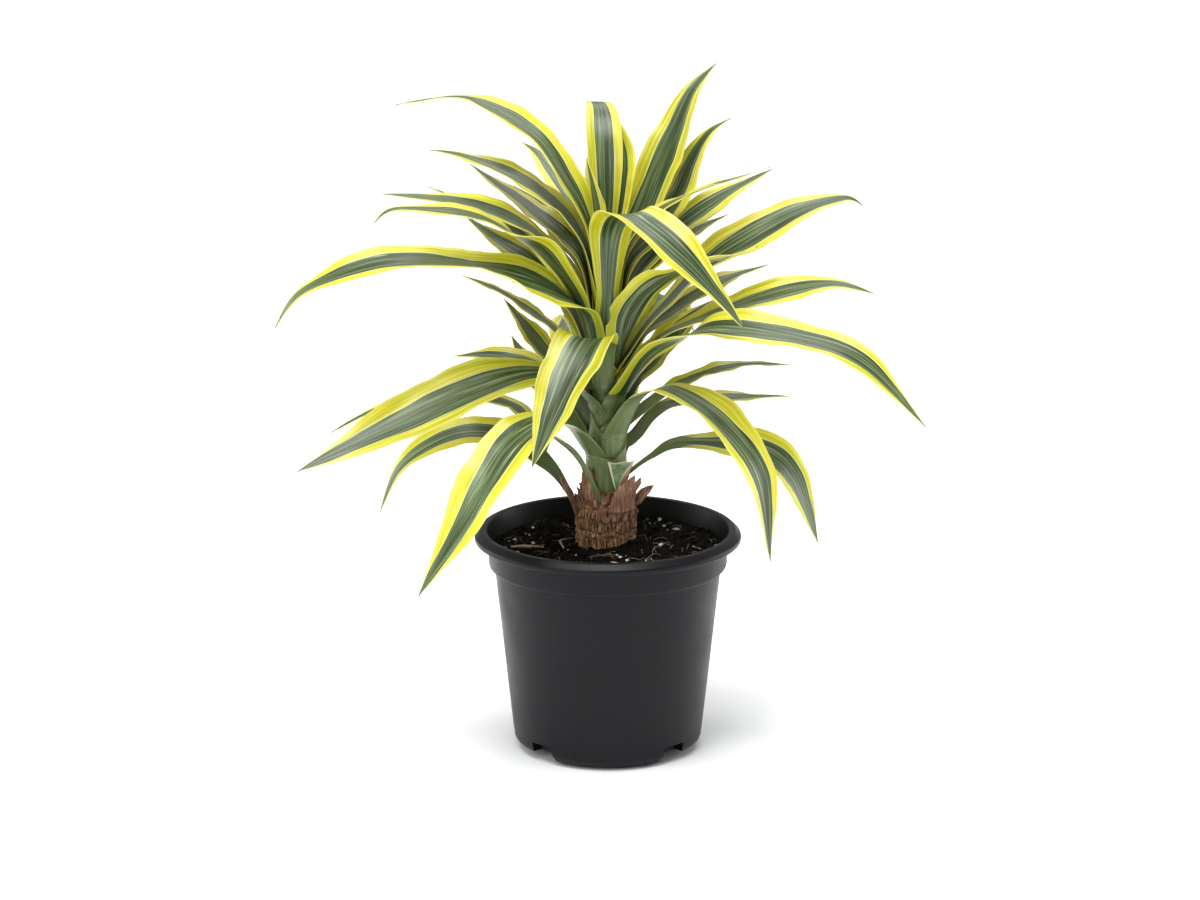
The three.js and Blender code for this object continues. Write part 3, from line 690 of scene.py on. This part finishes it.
def crumbs():
    coarse = copies("peat_lumps", lump(2, 0.9, 3), scatter(21, 260, 0.9, 2.6, 0.3, 0, 71))
    fine = copies("peat_crumbs", lump(1, 0.8, 9), scatter(22, 2600, 0.35, 1.1, 0.2, 0, 72))
    for piece in (coarse, fine):
        shade(piece, 50)
        finish_piece(piece, piece.name, [PEAT])
    grains = copies("perlite_grains", lump(2, 0.7, 5), scatter(23, 60, 0.4, 1.5, 0.25, 20, 70, 0.8))
    shade(grains, 50)
    finish_piece(grains, "perlite_grains", [PERLITE])


def strand(name, route, radius, sides):
    """A thin root or twig along points in millimetres, with a round section that thins at its ends."""
    curve = bpy.data.curves.new(name, "CURVE")
    curve.dimensions = "3D"
    curve.bevel_depth = radius * MM
    curve.bevel_resolution = max(0, sides // 2 - 2)
    curve.use_fill_caps = True
    spline = curve.splines.new("NURBS")
    spline.points.add(len(route) - 1)
    for i, (point, spot) in enumerate(zip(spline.points, route)):
        point.co = (*(Vector(spot) * MM), 1)
        point.radius = 0.55 if i in (0, len(route) - 1) else 1
    spline.use_endpoint_u = True
    spline.order_u = 3
    spline.resolution_u = 4
    piece = new_object(name, curve)
    select_only(piece)
    bpy.ops.object.convert(target="MESH")
    return piece


def roots():
    rng = random.Random(31)
    pieces = []
    marked = [  # the twig at the left, the pale root in front of it and the sliver at the front
        ([(-66, -2, 130.6), (-58, -3, 131.8), (-50, -5, 132.4), (-41, -6, 132.2)], 1.0),
        ([(-27, 14, 131.6), (-31, 8, 132.6), (-30, 0, 132.8), (-28, -8, 132)], 0.8),
        ([(2, -38, 131.6), (6, -43, 132.8), (9, -47, 131.4)], 0.9),
    ]
    for number, (route, radius) in enumerate(marked):
        pieces.append(strand(f"twig_{number}", route, radius, 8))
    for number in range(FIBRES):
        out = rng.uniform(20, 70)
        turn = rng.uniform(0, 2 * math.pi)
        heading = rng.uniform(0, 2 * math.pi)
        length = rng.uniform(4, 15)
        route = []
        x, y = out * math.cos(turn), out * math.sin(turn)
        for step in range(4):
            if math.hypot(x, y) > 71:
                break
            lift = 0.5 + rng.uniform(-0.5, 2.4) * (step in (1, 2))
            route.append((x, y, SOIL_TOP + soil_rise(x, y) + lift))
            heading += rng.uniform(-1.1, 1.1)
            x += length / 3 * math.cos(heading)
            y += length / 3 * math.sin(heading)
        if len(route) >= 3:
            pieces.append(strand(f"fibre_{number}", route, rng.uniform(0.06, 0.13), 4))
    piece = joined(pieces)
    shade(piece, 60)
    finish_piece(piece, "roots_and_fibres", [ROOT])


soil()
crumbs()
roots()


# ---- cane ----

def bark_relief(angle, height):
    """How far the cane's bark stands out at a place, in millimetres, and how dark it is painted there: real
    cracks, with painted shade in the grooves between rings, in the gaps between ribs and under the torn
    edges of layers. Below, rings of short upright ribs; above, torn papery layers."""
    around = Vector((math.cos(angle), math.sin(angle), 0))
    rough = noise.fractal(around * 5 + Vector((0, 0, height * 0.2)), 1, 2, 3)
    level = height + 1.6 * math.sin(angle + 0.6) + 2.2 * noise.noise(around * 1.9) + 0.7 * rough
    ring = int(np.searchsorted(RING_EDGES, level))
    if 0 < ring < len(RING_EDGES):
        bottom, top = RING_EDGES[ring - 1], RING_EDGES[ring]
        edge = min(level - bottom, top - level)
        groove = math.exp(-(edge / 0.7) ** 2) * (0.35 + 0.9 * abs(rough))
        jitter = 5 * noise.noise(Vector((angle * 4, 7.3 * ring, 0)))
        depth = noise.noise(Vector((angle * 14, 9.1 * ring, height * 0.25)))
        gap = (0.5 - 0.5 * math.cos(RIBS * angle + 2.1 * ring + jitter)) ** 2
        gap *= min(max(0.5 + 1.3 * depth, 0), 1.1) * smooth(edge, 0.2, 1.2)
        if top - bottom < 5:
            gap *= 0.45
        ringed = 0.6 - 1.1 * groove - 1.6 * gap + 0.9 * rough
    else:
        groove, gap, ringed = 0, 0, 0
    layers = noise.fractal(around * 2.6 + Vector((0, 0, height * 0.3)), 1, 2, 4)
    torn = layers * 7 - math.floor(layers * 7)
    papery = 1.4 * layers + 1.0 * torn - 0.5
    above = smooth(level, 153, 157)
    # dark where the relief is lowest: partly real cracks, partly painted shade in the grooves, rib gaps and
    # under each torn layer's edge
    crack_and_shade = lerp(max(groove, 1.1 * gap), 0.9 * (1 - smooth(torn, 0, 0.22)), above)
    grain = 0.22 * noise.fractal(Vector((around.x * 30, around.y * 30, height * 0.7)), 1, 2, 3)
    return lerp(ringed, papery, above) + grain, float(min(max(crack_and_shade, 0), 1))


def trunk():
    heights = list(np.linspace(SOIL_TOP - 8, TRUNK_TOP, CANE_ROWS))
    profile = [(TRUNK_RADIUS, h) for h in heights]
    profile += [(TRUNK_RADIUS * share, TRUNK_TOP) for share in (0.85, 0.7, 0.5, 0.2)]
    piece = turned(profile, CANE_SIDES)
    points = get_points(piece) / MM
    crack_and_shade_marks = []
    for point in points:
        angle = math.atan2(point[1], point[0])
        height = point[2]
        relief, crack_and_shade = bark_relief(angle, height)
        neck = 3.2 * smooth(height, 150, TRUNK_TOP)
        lump_out = 0.8 * math.sin(2 * angle + 0.6)
        grow = (TRUNK_RADIUS - 0.3 - neck + relief + lump_out) / TRUNK_RADIUS
        point[0] = point[0] * grow + STEM_X
        point[1] = point[1] * grow + STEM_Y
        crack_and_shade_marks.append(crack_and_shade)
    set_points(piece, points * MM)
    # the crack mark carries real cracks and painted shade in the bark's recesses
    mark(piece, "crack_and_shade", crack_and_shade_marks)
    shade(piece, 60)
    finish_piece(piece, "cane", [CANE], ["trunk"])


trunk()


# ---- shoot with its sheaths ----

# The upper edge of each old leaf's sheath, as azimuths and heights; oldest first. An edge rises to
# the leaf's own side, and is lowest on the other side of the shoot.
SHEATH_EDGES = [
    [(0, 205), (90, 203), (150, 203), (195, 199), (230, 194), (286, 190.5), (330, 197)],
    [(60, 219), (120, 225), (190, 222), (225, 215), (254, 208.5), (278, 205), (305, 205.5),
     (335, 207.5), (0, 212)],
    [(20, 238), (90, 226), (180, 214), (230, 209), (254, 211), (280, 215.5), (300, 221),
     (315, 228), (340, 236)],
    [(60, 226), (150, 244), (220, 251), (258, 252), (300, 244), (330, 234)],
    [(40, 262), (110, 256), (200, 246), (260, 250), (320, 260)],
    [(20, 262), (100, 272), (180, 276), (240, 268), (300, 262)],
    [(40, 286), (120, 284), (220, 274), (300, 278)],
    [(20, 284), (120, 292), (220, 296), (300, 288)],
]


def below_sheath_edge(angle, height):
    """How far a place on the shoot lies below the edge of the oldest sheath that covers it."""
    degrees = math.degrees(angle) % 360
    for number, rows in enumerate(SHEATH_EDGES):
        azimuths, heights = zip(*rows)
        edge = np.interp(degrees, azimuths, heights, period=360)
        edge += 0.5 * noise.noise(Vector((angle * 9, number, 0)))
        if edge > height:
            return edge - height
    return STEM_TOP + 10 - height


def stem():
    heights = list(np.linspace(TRUNK_TOP - 2, STEM_TOP, SHOOT_ROWS))
    profile = [(stem_radius(h), h) for h in heights] + [(2, STEM_TOP + 0.5)]
    piece = turned(profile, SHOOT_SIDES)
    points = get_points(piece) / MM
    below_edge = []
    for point in points:
        angle = math.atan2(point[1], point[0])
        height = point[2]
        below = below_sheath_edge(angle, height)
        radius = np.interp(height, *zip(*SHEATHED)) - 1.3
        flare = SHEATH_FLARE * (1 - min(max(below / 14, 0), 1)) ** 1.5
        grow = (radius + flare) / stem_radius(height)
        point[0] = point[0] * grow + STEM_X
        point[1] = point[1] * grow + STEM_Y
        below_edge.append(below * MM)
    set_points(piece, points * MM)
    mark(piece, "below_edge", below_edge)
    shade(piece, 50)
    finish_piece(piece, "shoot", [SHEATH], ["stem"])


stem()


# ---- leaves ----

def curve_points(points, shares):
    """Points of a smooth Catmull-Rom curve through the given ones, at shares of it."""
    points = np.asarray(points, float)
    last = len(points) - 1
    spans = np.minimum((shares * last).astype(int), last - 1)
    t = (shares * last - spans)[:, None]
    before, here = points[np.maximum(spans - 1, 0)], points[spans]
    there, after = points[spans + 1], points[np.minimum(spans + 2, last)]
    leave, arrive, rise = (there - before) / 2, (after - here) / 2, there - here
    return here + t * leave + t ** 2 * (3 * rise - 2 * leave - arrive) + t ** 3 * (
        leave + arrive - 2 * rise)


def midrib(leaf):
    """Points and directions of the midrib, the share of its length at each, and its length. The first
    rows, with shares below 0, are the foot that sinks into the shoot."""
    clasp = leaf.get("out", stem_radius(leaf["from"]) + GAP + BLADE + 0.4)
    route = [(clasp, leaf["from"]), *leaf["run"]]
    flat = curve_points(route, np.linspace(0, 1, 600))
    first, last = leaf.get("swing", (0, route[-1][0]))
    swung = smooth(flat[:, 0], first, last) if "swing" in leaf else np.clip(flat[:, 0] / last, 0, 1)
    azimuth = np.radians(lerp(*leaf["azimuth"], swung))
    line = np.column_stack([flat[:, 0] * np.cos(azimuth), flat[:, 0] * np.sin(azimuth), flat[:, 1]])
    lengths = np.concatenate([[0], np.cumsum(np.linalg.norm(np.diff(line, axis=0), axis=1))])
    shares = np.linspace(0, 1, leaf.get("steps", LEAF_STEPS) + 1)
    main = np.column_stack([np.interp(shares * lengths[-1], lengths, line[:, i]) for i in range(3)])
    down = np.linspace(1, 1 / TAIL_STEPS, TAIL_STEPS)
    foot = leaf.get("foot", FOOT_LENGTH)
    foot_out = clasp - FOOT_SINK * smooth(down, 0, 1)
    tail = np.column_stack([
        foot_out * np.cos(azimuth[0]), foot_out * np.sin(azimuth[0]),
        leaf["from"] - foot * down])
    points = np.concatenate([tail, main])
    ahead = np.gradient(points, axis=0)
    ahead /= np.linalg.norm(ahead, axis=1)[:, None]
    return points, ahead, np.concatenate([-0.001 * down, shares]), lengths[-1]


def half_width(leaf, share):
    base = leaf.get("base", BASE_WIDTH) / leaf["width"]
    widest = leaf.get("widest", 0.45)
    share = np.clip(share, 0, 1)
    beyond = 1 - ((share - widest) / (1 - widest)) ** 2
    beyond *= 1 - 0.25 * smooth(share, 0.72, 0.97)  # a long drawn-out point
    before = lerp(base, 1, smooth(share, 0.04, widest))
    part = np.where(share < widest, before, beyond)
    if leaf.get("cut"):
        part = lerp(base, 1, share)
    return leaf["width"] / 2 * np.maximum(part, 0.012)


def plain_part(leaf, along):
    """1 where a leaf is plain sheath green, next to the shoot, and 0 beyond. Older leaves are plain
    for longer."""
    reach = leaf.get("plain", np.interp(leaf["from"], [150, 205, 228, 256], [60, 42, 12, -12]))
    return 1 - smooth(along, reach - 4 - 0.4 * abs(reach), reach)


def blade(leaf, seed, number, materials):
    """A thin waved sheet along its midrib. The foot hugs the shoot, widens and sinks into it."""
    draw = drawer(seed)
    phases = [draw() * 6.28, draw() * 6.28]
    waves = 2.4 + 1.4 * draw()
    extra = [draw() * 6.28 for _ in range(6)]
    points, ahead, shares, length = midrib(leaf)
    rows = len(points)
    strips = leaf.get("strips", LEAF_STRIPS)
    across = np.linspace(-1, 1, strips + 1)[None, :, None]

    share = shares[:, None, None]
    out = np.hypot(points[:, 0], points[:, 1])
    around = np.column_stack([-points[:, 1] / out, points[:, 0] / out, np.zeros(rows)])
    up = np.cross(ahead, around)
    up /= np.linalg.norm(up, axis=1)[:, None]
    right = np.cross(ahead, up)
    near, far = leaf.get("roll", (0, 0))
    start, end = leaf.get("turn", (0.3, 0.65))
    roll = near * smooth(shares, 0.04, 0.2) + (far - near) * smooth(shares, start, end)
    if "rolls" in leaf:
        roll = np.interp(shares, *zip(*leaf["rolls"]))
    roll = np.radians(roll)
    tilted_up = up * np.cos(roll)[:, None] + right * np.sin(roll)[:, None]
    tilted_right = np.cross(ahead, tilted_up)
    down = np.clip(-1000 * shares, 0, 1)
    near_shoot = 1 - smooth(shares * length, 0, leaf.get("clasp_length", CLASP_LENGTH))
    half = half_width(leaf, shares) * (1 + leaf.get("clasp", CLASP) * (near_shoot + 0.3 * down))
    channel = smooth(shares, 0.05, 0.4) / CHANNEL_RADIUS
    bend = np.maximum(np.maximum(ahead[:, 2], 0) / out, channel * np.minimum(1, half / 8))
    bend = np.maximum(bend, 1e-5)[:, None, None]
    half = half[:, None, None]
    angle = across * half * bend
    ripple = np.where(
        across > 0, np.sin(waves * 6.28 * share + phases[1]), np.sin(waves * 6.28 * share + phases[0]))
    small = np.where(
        across > 0, np.sin(9.5 * 6.28 * share + extra[0]), np.sin(8.3 * 6.28 * share + extra[1]))
    swell = np.sin(across * 2.5 + extra[2]) * np.sin(share * 17 + extra[3])
    wave = (RIPPLE * ripple + 0.35 * small) * across ** 2 * smooth(share, 0.15, 0.4) * half / 15
    wave = wave + 0.3 * swell * smooth(share, 0.1, 0.3) * half / 15
    if leaf.get("cut"):
        wave = wave * 0
    lift = (1 - np.cos(angle)) / bend + wave
    place = points[:, None, :] + tilted_right[:, None, :] * (np.sin(angle) / bend)
    place = place + tilted_up[:, None, :] * lift
    outward = np.column_stack([points[:, 0] / out, points[:, 1] / out, np.zeros(rows)])
    place = place - outward[:, None, :] * (1.6 * down[:, None, None] * across ** 2)
    if leaf.get("cut"):
        ragged = np.interp(np.linspace(0, 1, strips + 1), np.linspace(0, 1, 9),
                           [leaf["ragged"] * draw() for _ in range(9)])
        shorten = smooth(share, 0, 1) * ragged[None, :, None] * length
        place = place - ahead[:, None, :] * shorten

    select_only()
    bpy.ops.mesh.primitive_grid_add(x_subdivisions=strips, y_subdivisions=rows - 1, size=1)
    piece = bpy.context.object
    cells = get_points(piece)
    column = np.rint((cells[:, 0] + 0.5) * strips).astype(int)
    row = np.rint((cells[:, 1] + 0.5) * (rows - 1)).astype(int)
    shoot_axis = np.array([STEM_X, STEM_Y, 0])
    set_points(piece, (place[row, column] + shoot_axis) * MM)

    corner = np.empty(len(piece.data.loops), int)
    piece.data.loops.foreach_get("vertex_index", corner)
    while piece.data.uv_layers:
        piece.data.uv_layers.remove(piece.data.uv_layers[0])
    side = across[0, :, 0]
    metres = np.column_stack([
        side[column] * half[row, 0, 0] * MM, shares[row] * length * MM + PATTERN_SHIFT * number])
    parts = np.column_stack([side[column], np.maximum(shares[row], 0)])
    plain = plain_part(leaf, shares * length)
    tone = random.Random(seed).random()
    own = np.column_stack([plain[row], np.full(len(row), tone)])
    for layer_name, values in (("surface", metres), ("share", parts), ("leaf", own)):
        layer = piece.data.uv_layers.new(name=layer_name)
        layer.data.foreach_set("uv", values[corner].ravel())
    thick = piece.vertex_groups.new(name="thick")
    weights = (1 - np.abs(side[column])) * (1 - np.clip(shares[row], 0, 1))
    for vertex, weight in enumerate(weights):
        thick.add([vertex], float(weight), "REPLACE")
    select_only(piece)
    edit_all()
    bpy.ops.mesh.flip_normals()
    bpy.ops.object.mode_set(mode="OBJECT")
    dress(piece, materials)
    modify(piece, "SOLIDIFY", thickness=MIDRIB * MM, offset=0, vertex_group="thick",
           thickness_vertex_group=0.38, material_offset=len(materials) - 1, use_rim=True)
    shade(piece, 45)
    return piece


def strap(height, azimuth, width, run, **own):
    """A strap leaf: its height on the shoot, its azimuths at the shoot and at the tip, its greatest
    width, and the points of its midrib, as distances out and heights. Its own may be: out, where it
    starts; base, its width there; widest, the share where it is widest; roll, in degrees, near the
    shoot and further out, changing over the shares in turn, or rolls at shares of its length; swing,
    how far out its azimuth begins and ends its change; clasp, clasp_length and foot, how its foot
    holds the shoot; plain, the length without margins; cut and ragged, for a leaf torn or cut off."""
    return {"from": height, "azimuth": azimuth, "width": width, "run": run, **own}


LEAVES = [
    # lowest tier, on long narrow stalks
    strap(151, (180, 178), 25,
          [(26, 168), (38, 184), (60, 200), (88, 204), (113, 195), (133, 178), (145, 150)],
          rolls=[(0.02, 0), (0.1, -32)], base=5.5, out=19.8, foot=4, clasp=0),
    strap(166, (256, 166), 26, [(26, 177), (36, 202), (54, 215), (92, 222), (146, 212), (184, 192)],
          roll=(0, -14), base=3, out=19.4, foot=3, clasp=0, widest=0.62, swing=(19.4, 62)),
    strap(176, (20, 6), 31, [(30, 186), (50, 194), (98, 188), (121, 170), (137, 127)], roll=(20, 44),
          base=5, clasp=0.3, widest=0.58),
    strap(192, (231, 223), 38, [(30, 211), (54, 222), (84, 213), (105, 194), (128, 165), (158, 128)],
          roll=(-8, -14)),
    strap(194, (28, 18), 22, [(22, 200), (40, 216), (81, 219), (124, 218)], roll=(0, 5), base=10),
    strap(197, (132, 130), 26, [(32, 206), (61, 224), (86, 241), (96, 250)]),
    strap(204, (88, 82), 30, [(34, 226), (76, 242), (116, 224), (138, 184)]),
    strap(205, (318, 322), 36, [(24, 228), (42, 239), (60, 239), (92, 225), (120, 196), (129, 142)],
          roll=(0, 4), base=15),
    strap(207, (148, 150), 28, [(28, 226), (60, 241), (86, 244), (114, 240)], roll=(0, -14)),
    strap(208, (18, 12), 24, [(24, 217), (40, 228), (65, 238), (90, 243), (121, 242)]),
    # middle tier, arching widely
    strap(216, (48, 43), 28, [(22, 232), (37, 241), (55, 254), (78, 268), (100, 276)]),
    strap(219, (101, 104), 30, [(32, 246), (70, 262), (112, 246), (136, 204)]),
    strap(225, (206, 202), 39, [(30, 243), (60, 248), (100, 239), (152, 220), (206, 199)], roll=(-30, -36)),
    strap(228, (320, 336), 34, [(31, 257), (54, 272), (86, 283), (143, 280), (179, 267), (214, 230)],
          clasp=1.1, clasp_length=45, plain=6, roll=(-28, 18), turn=(0.16, 0.36)),
    strap(230, (150, 152), 27, [(26, 240), (44, 250), (60, 268), (74, 283)]),
    strap(233, (86, 84), 30, [(30, 264), (66, 288), (112, 276), (140, 238)]),
    strap(238, (258, 243), 40, [(20, 258), (36, 273), (60, 260), (82, 236), (101, 205)], clasp=0.2,
          widest=0.38, base=14, plain=40),
    strap(240, (2, -4), 30, [(34, 266), (62, 278), (98, 292), (140, 302), (168, 297)], roll=(0, 25)),
    strap(243, (172, 174), 22, [(24, 262), (44, 278), (68, 294), (92, 304)]),
    strap(245, (32, 28), 30, [(26, 266), (46, 276), (84, 293), (118, 301)]),
    strap(248, (12, 10), 36, [(24, 270), (41, 288), (68, 312), (118, 340), (152, 350), (165, 345)],
          roll=(0, 28)),
    strap(249, (160, 160), 30, [(24, 284), (51, 311), (76, 325), (96, 338)], roll=(0, -14)),
    strap(251, (220, 194), 38,
          [(18, 283), (35, 298), (63, 312), (101, 323), (150, 326), (194, 308), (211, 284)], clasp=1.3,
          clasp_length=60, widest=0.36,
          rolls=[(0.13, 0), (0.23, -38), (0.33, -36), (0.46, -3), (0.62, -20)]),
    strap(256, (322, 350), 30, [(18, 282), (34, 303), (62, 317), (96, 328)], clasp=1.3, clasp_length=50,
          roll=(-32, -12)),
    strap(256, (204, 208), 28, [(18, 289), (39, 320), (60, 336), (92, 352), (143, 362), (160, 355)],
          roll=(22, -12), turn=(0.4, 0.55)),
    strap(258, (66, 60), 30, [(22, 286), (50, 318), (86, 324), (122, 300)]),
    strap(261, (166, 166), 24, [(18, 292), (34, 311), (58, 330), (86, 346), (116, 357)]),
    strap(266, (183, 184), 28, [(17, 300), (38, 327), (67, 346), (97, 355), (140, 360)], roll=(-6, -16)),
    # crown, rising steeply round the growing point
    strap(268, (30, 30), 24, [(22, 298), (40, 316), (62, 327), (90, 336)]),
    strap(271, (122, 124), 27, [(18, 305), (38, 319), (71, 334), (107, 346)]),
    strap(272, (268, 318), 37,
          [(14, 304), (22, 336), (42, 353), (64, 347), (84, 331), (102, 308), (113, 289)], widest=0.5),
    strap(273, (36, 28), 28, [(22, 302), (48, 326), (84, 347), (120, 363)], roll=(0, 14)),
    strap(277, (145, 151), 28, [(17, 314), (34, 329), (60, 345), (80, 356), (99, 368)]),
    strap(278, (44, 38), 30, [(18, 312), (40, 328), (60, 350), (71, 370), (84, 387), (101, 395)]),
    strap(283, (112, 115), 27, [(17, 319), (46, 341), (80, 357), (108, 366), (130, 369)], base=9),
    strap(287, (54, 47), 34, [(15, 318), (37, 342), (53, 366), (67, 389), (82, 413), (103, 428)], base=9),
    strap(294, (89, 88), 30, [(15, 330), (35, 361), (76, 372), (116, 350)], base=8),
    strap(290, (165, 172), 30, [(16, 327), (40, 355), (68, 371), (93, 380), (112, 383)], roll=(0, -8)),
    strap(291, (11, 17), 20, [(14, 326), (34, 346), (63, 358), (108, 369)], roll=(0, -10), base=8),
    strap(299, (151, 162), 35, [(13, 337), (32, 370), (53, 393), (95, 412), (140, 407)], base=8),
    strap(306, (92, 99), 24, [(7.8, 336), (16, 378), (32, 401), (54, 407), (80, 394)], base=8),
    strap(307, (250, 215), 13, [(7, 330), (10, 356), (15, 382)], base=6),
    strap(298.5, (62, 85), 27, [(10.5, 334), (21, 364), (34, 388), (46, 401)], base=7, widest=0.6),
    # three more at the back
    strap(226, (66, 62), 28, [(28, 250), (60, 274), (96, 272), (124, 244)]),
    strap(238, (119, 119), 30, [(26, 264), (54, 290), (92, 298), (128, 276)]),
    strap(181, (112, 110), 28, [(30, 200), (62, 216), (98, 200), (118, 160)], base=9),
]

for count, leaf in enumerate(LEAVES, start=1):
    node = f"leaf_{count:02d}"
    piece = blade(leaf, 101 + 17 * (count - 1), count, [BLADE_UPPER, BLADE_UNDER])
    finish_piece(piece, node + "_blade", [BLADE_UPPER, BLADE_UNDER], [node])

# A leaf cut off short, at the front of the shoot, and the dry remains of older leaves.
REMAINS = {
    "leaf_stub": strap(170, (294, 298), 20, [(19.4, 180), (22, 190)], out=17.8, base=5, clasp=0, foot=4,
        cut=True, ragged=0.08),
    "husk_front": strap(157, (302, 334), 14, [(21.6, 168), (24, 178)], out=20.6, base=20, swing=(20.6, 24),
        cut=True, ragged=0.3, clasp=0, foot=4),
    "husk_left": strap(152, (212, 196), 6, [(23, 162), (27, 171), (32, 180)], out=20.4, base=3,
        rolls=[(0, -40), (1, -60)], clasp=0, foot=4),
    "husk_right": strap(161, (357, 350), 7, [(24, 165), (31, 171)], out=21, base=7,
        rolls=[(0, 50), (1, 70)], widest=0.1, clasp=0, foot=4),
}
for count, (node, shape) in enumerate(REMAINS.items(), start=60):
    green = node == "leaf_stub"
    material = CUT_LEAF if green else HUSK
    piece = blade(shape, 5, count, [material])
    finish_piece(piece, node + "_blade", [material], [node])


def scales():
    """Torn papery scales of old leaves, which overlap round the top of the cane."""
    rng = random.Random(41)
    # azimuths, heights of the feet, heights and widths of the large ones
    places = [(300, 156, 16, 13), (322, 156, 20, 13), (345, 157, 15, 12), (205, 171, 13, 10),
              (224, 168, 13, 9), (243, 164, 12, 8)]
    for number in range(SMALL_SCALES):
        azimuth = number * GOLDEN_ANGLE + rng.uniform(-20, 20)
        bare = smooth(abs((azimuth - 302 + 180) % 360 - 180), 25, 60)  # less at the front
        places.append((azimuth, lerp(150, lerp(158, 178, bare), number / (SMALL_SCALES - 1)),
                       rng.uniform(3, 7), rng.uniform(3, 7)))
    pieces = []
    for number, (azimuth, foot, height, width) in enumerate(places):
        out = np.interp(foot, [150, 160, 170, 180], [19.2, 18.2, 15.6, 15.2])
        small = height < 9
        lean = rng.uniform(0.3, 2) if small else -1.2
        tilt = rng.uniform(-25, 25) if small else 0
        shape = strap(foot, (azimuth, azimuth + rng.uniform(-14, 14)), width * 0.8,
                      [(out + 0.3, foot + height * 0.5), (out + lean, foot + height)], out=out,
                      base=width * (0.9 if small else 1.6), rolls=[(0, tilt), (1, tilt)], cut=True,
                      ragged=0.4, steps=12, strips=12, clasp=0, foot=4)
        pieces.append(blade(shape, 300 + number, 80 + number, [HUSK]))
    finish_piece(joined(pieces), "papery_scales", [HUSK])


scales()


# ---- floor and light ----

def studio():
    select_only()
    bpy.ops.mesh.primitive_circle_add(vertices=96, radius=9, fill_type="NGON", location=(0, 0, -0.0002))
    floor = bpy.context.object
    floor.name = "studio_floor"
    stops = [(0.3, "#f9fafb"), (0.7, "#fcfcfd")]
    floor.data.materials.append(mottled("white_paper", 3.0, 2.0, stops, Roughness=0.9)[0])

    world = bpy.data.worlds.new("white_studio")
    world.use_nodes = True
    sky = world.node_tree.nodes["Background"]
    sky.inputs["Color"].default_value = colour("#fbfcff")
    sky.inputs["Strength"].default_value = 0.42
    bpy.context.scene.world = world

    sun_data = bpy.data.lights.new("overhead_light", "SUN")
    sun_data.energy = 3.2
    sun_data.angle = math.radians(42)
    sun = new_object("overhead_light", sun_data)
    sun.rotation_euler = (math.radians(12), math.radians(-5), 0)

    lights = [  # name, place, size, watts
        ("sheen_light", (0.2, 0.9, 1.5), 1.0, 7),
        ("key_light", (-0.9, -1.5, 1.1), 1.0, 10),
        ("left_strip", (-1.2, 0.4, 0.4), 0.6, 4),
        ("right_strip", (1.2, 0.4, 0.4), 0.6, 4),
    ]
    for name, spot, size, watts in lights:
        data = bpy.data.lights.new(name, "AREA")
        data.size = size
        data.energy = watts
        lamp = new_object(name, data)
        lamp.location = spot
        lamp.rotation_euler = (Vector((0, 0, 0.2)) - Vector(spot)).to_track_quat("-Z", "Y").to_euler()
    bpy.context.scene.view_settings.view_transform = "Standard"


studio()
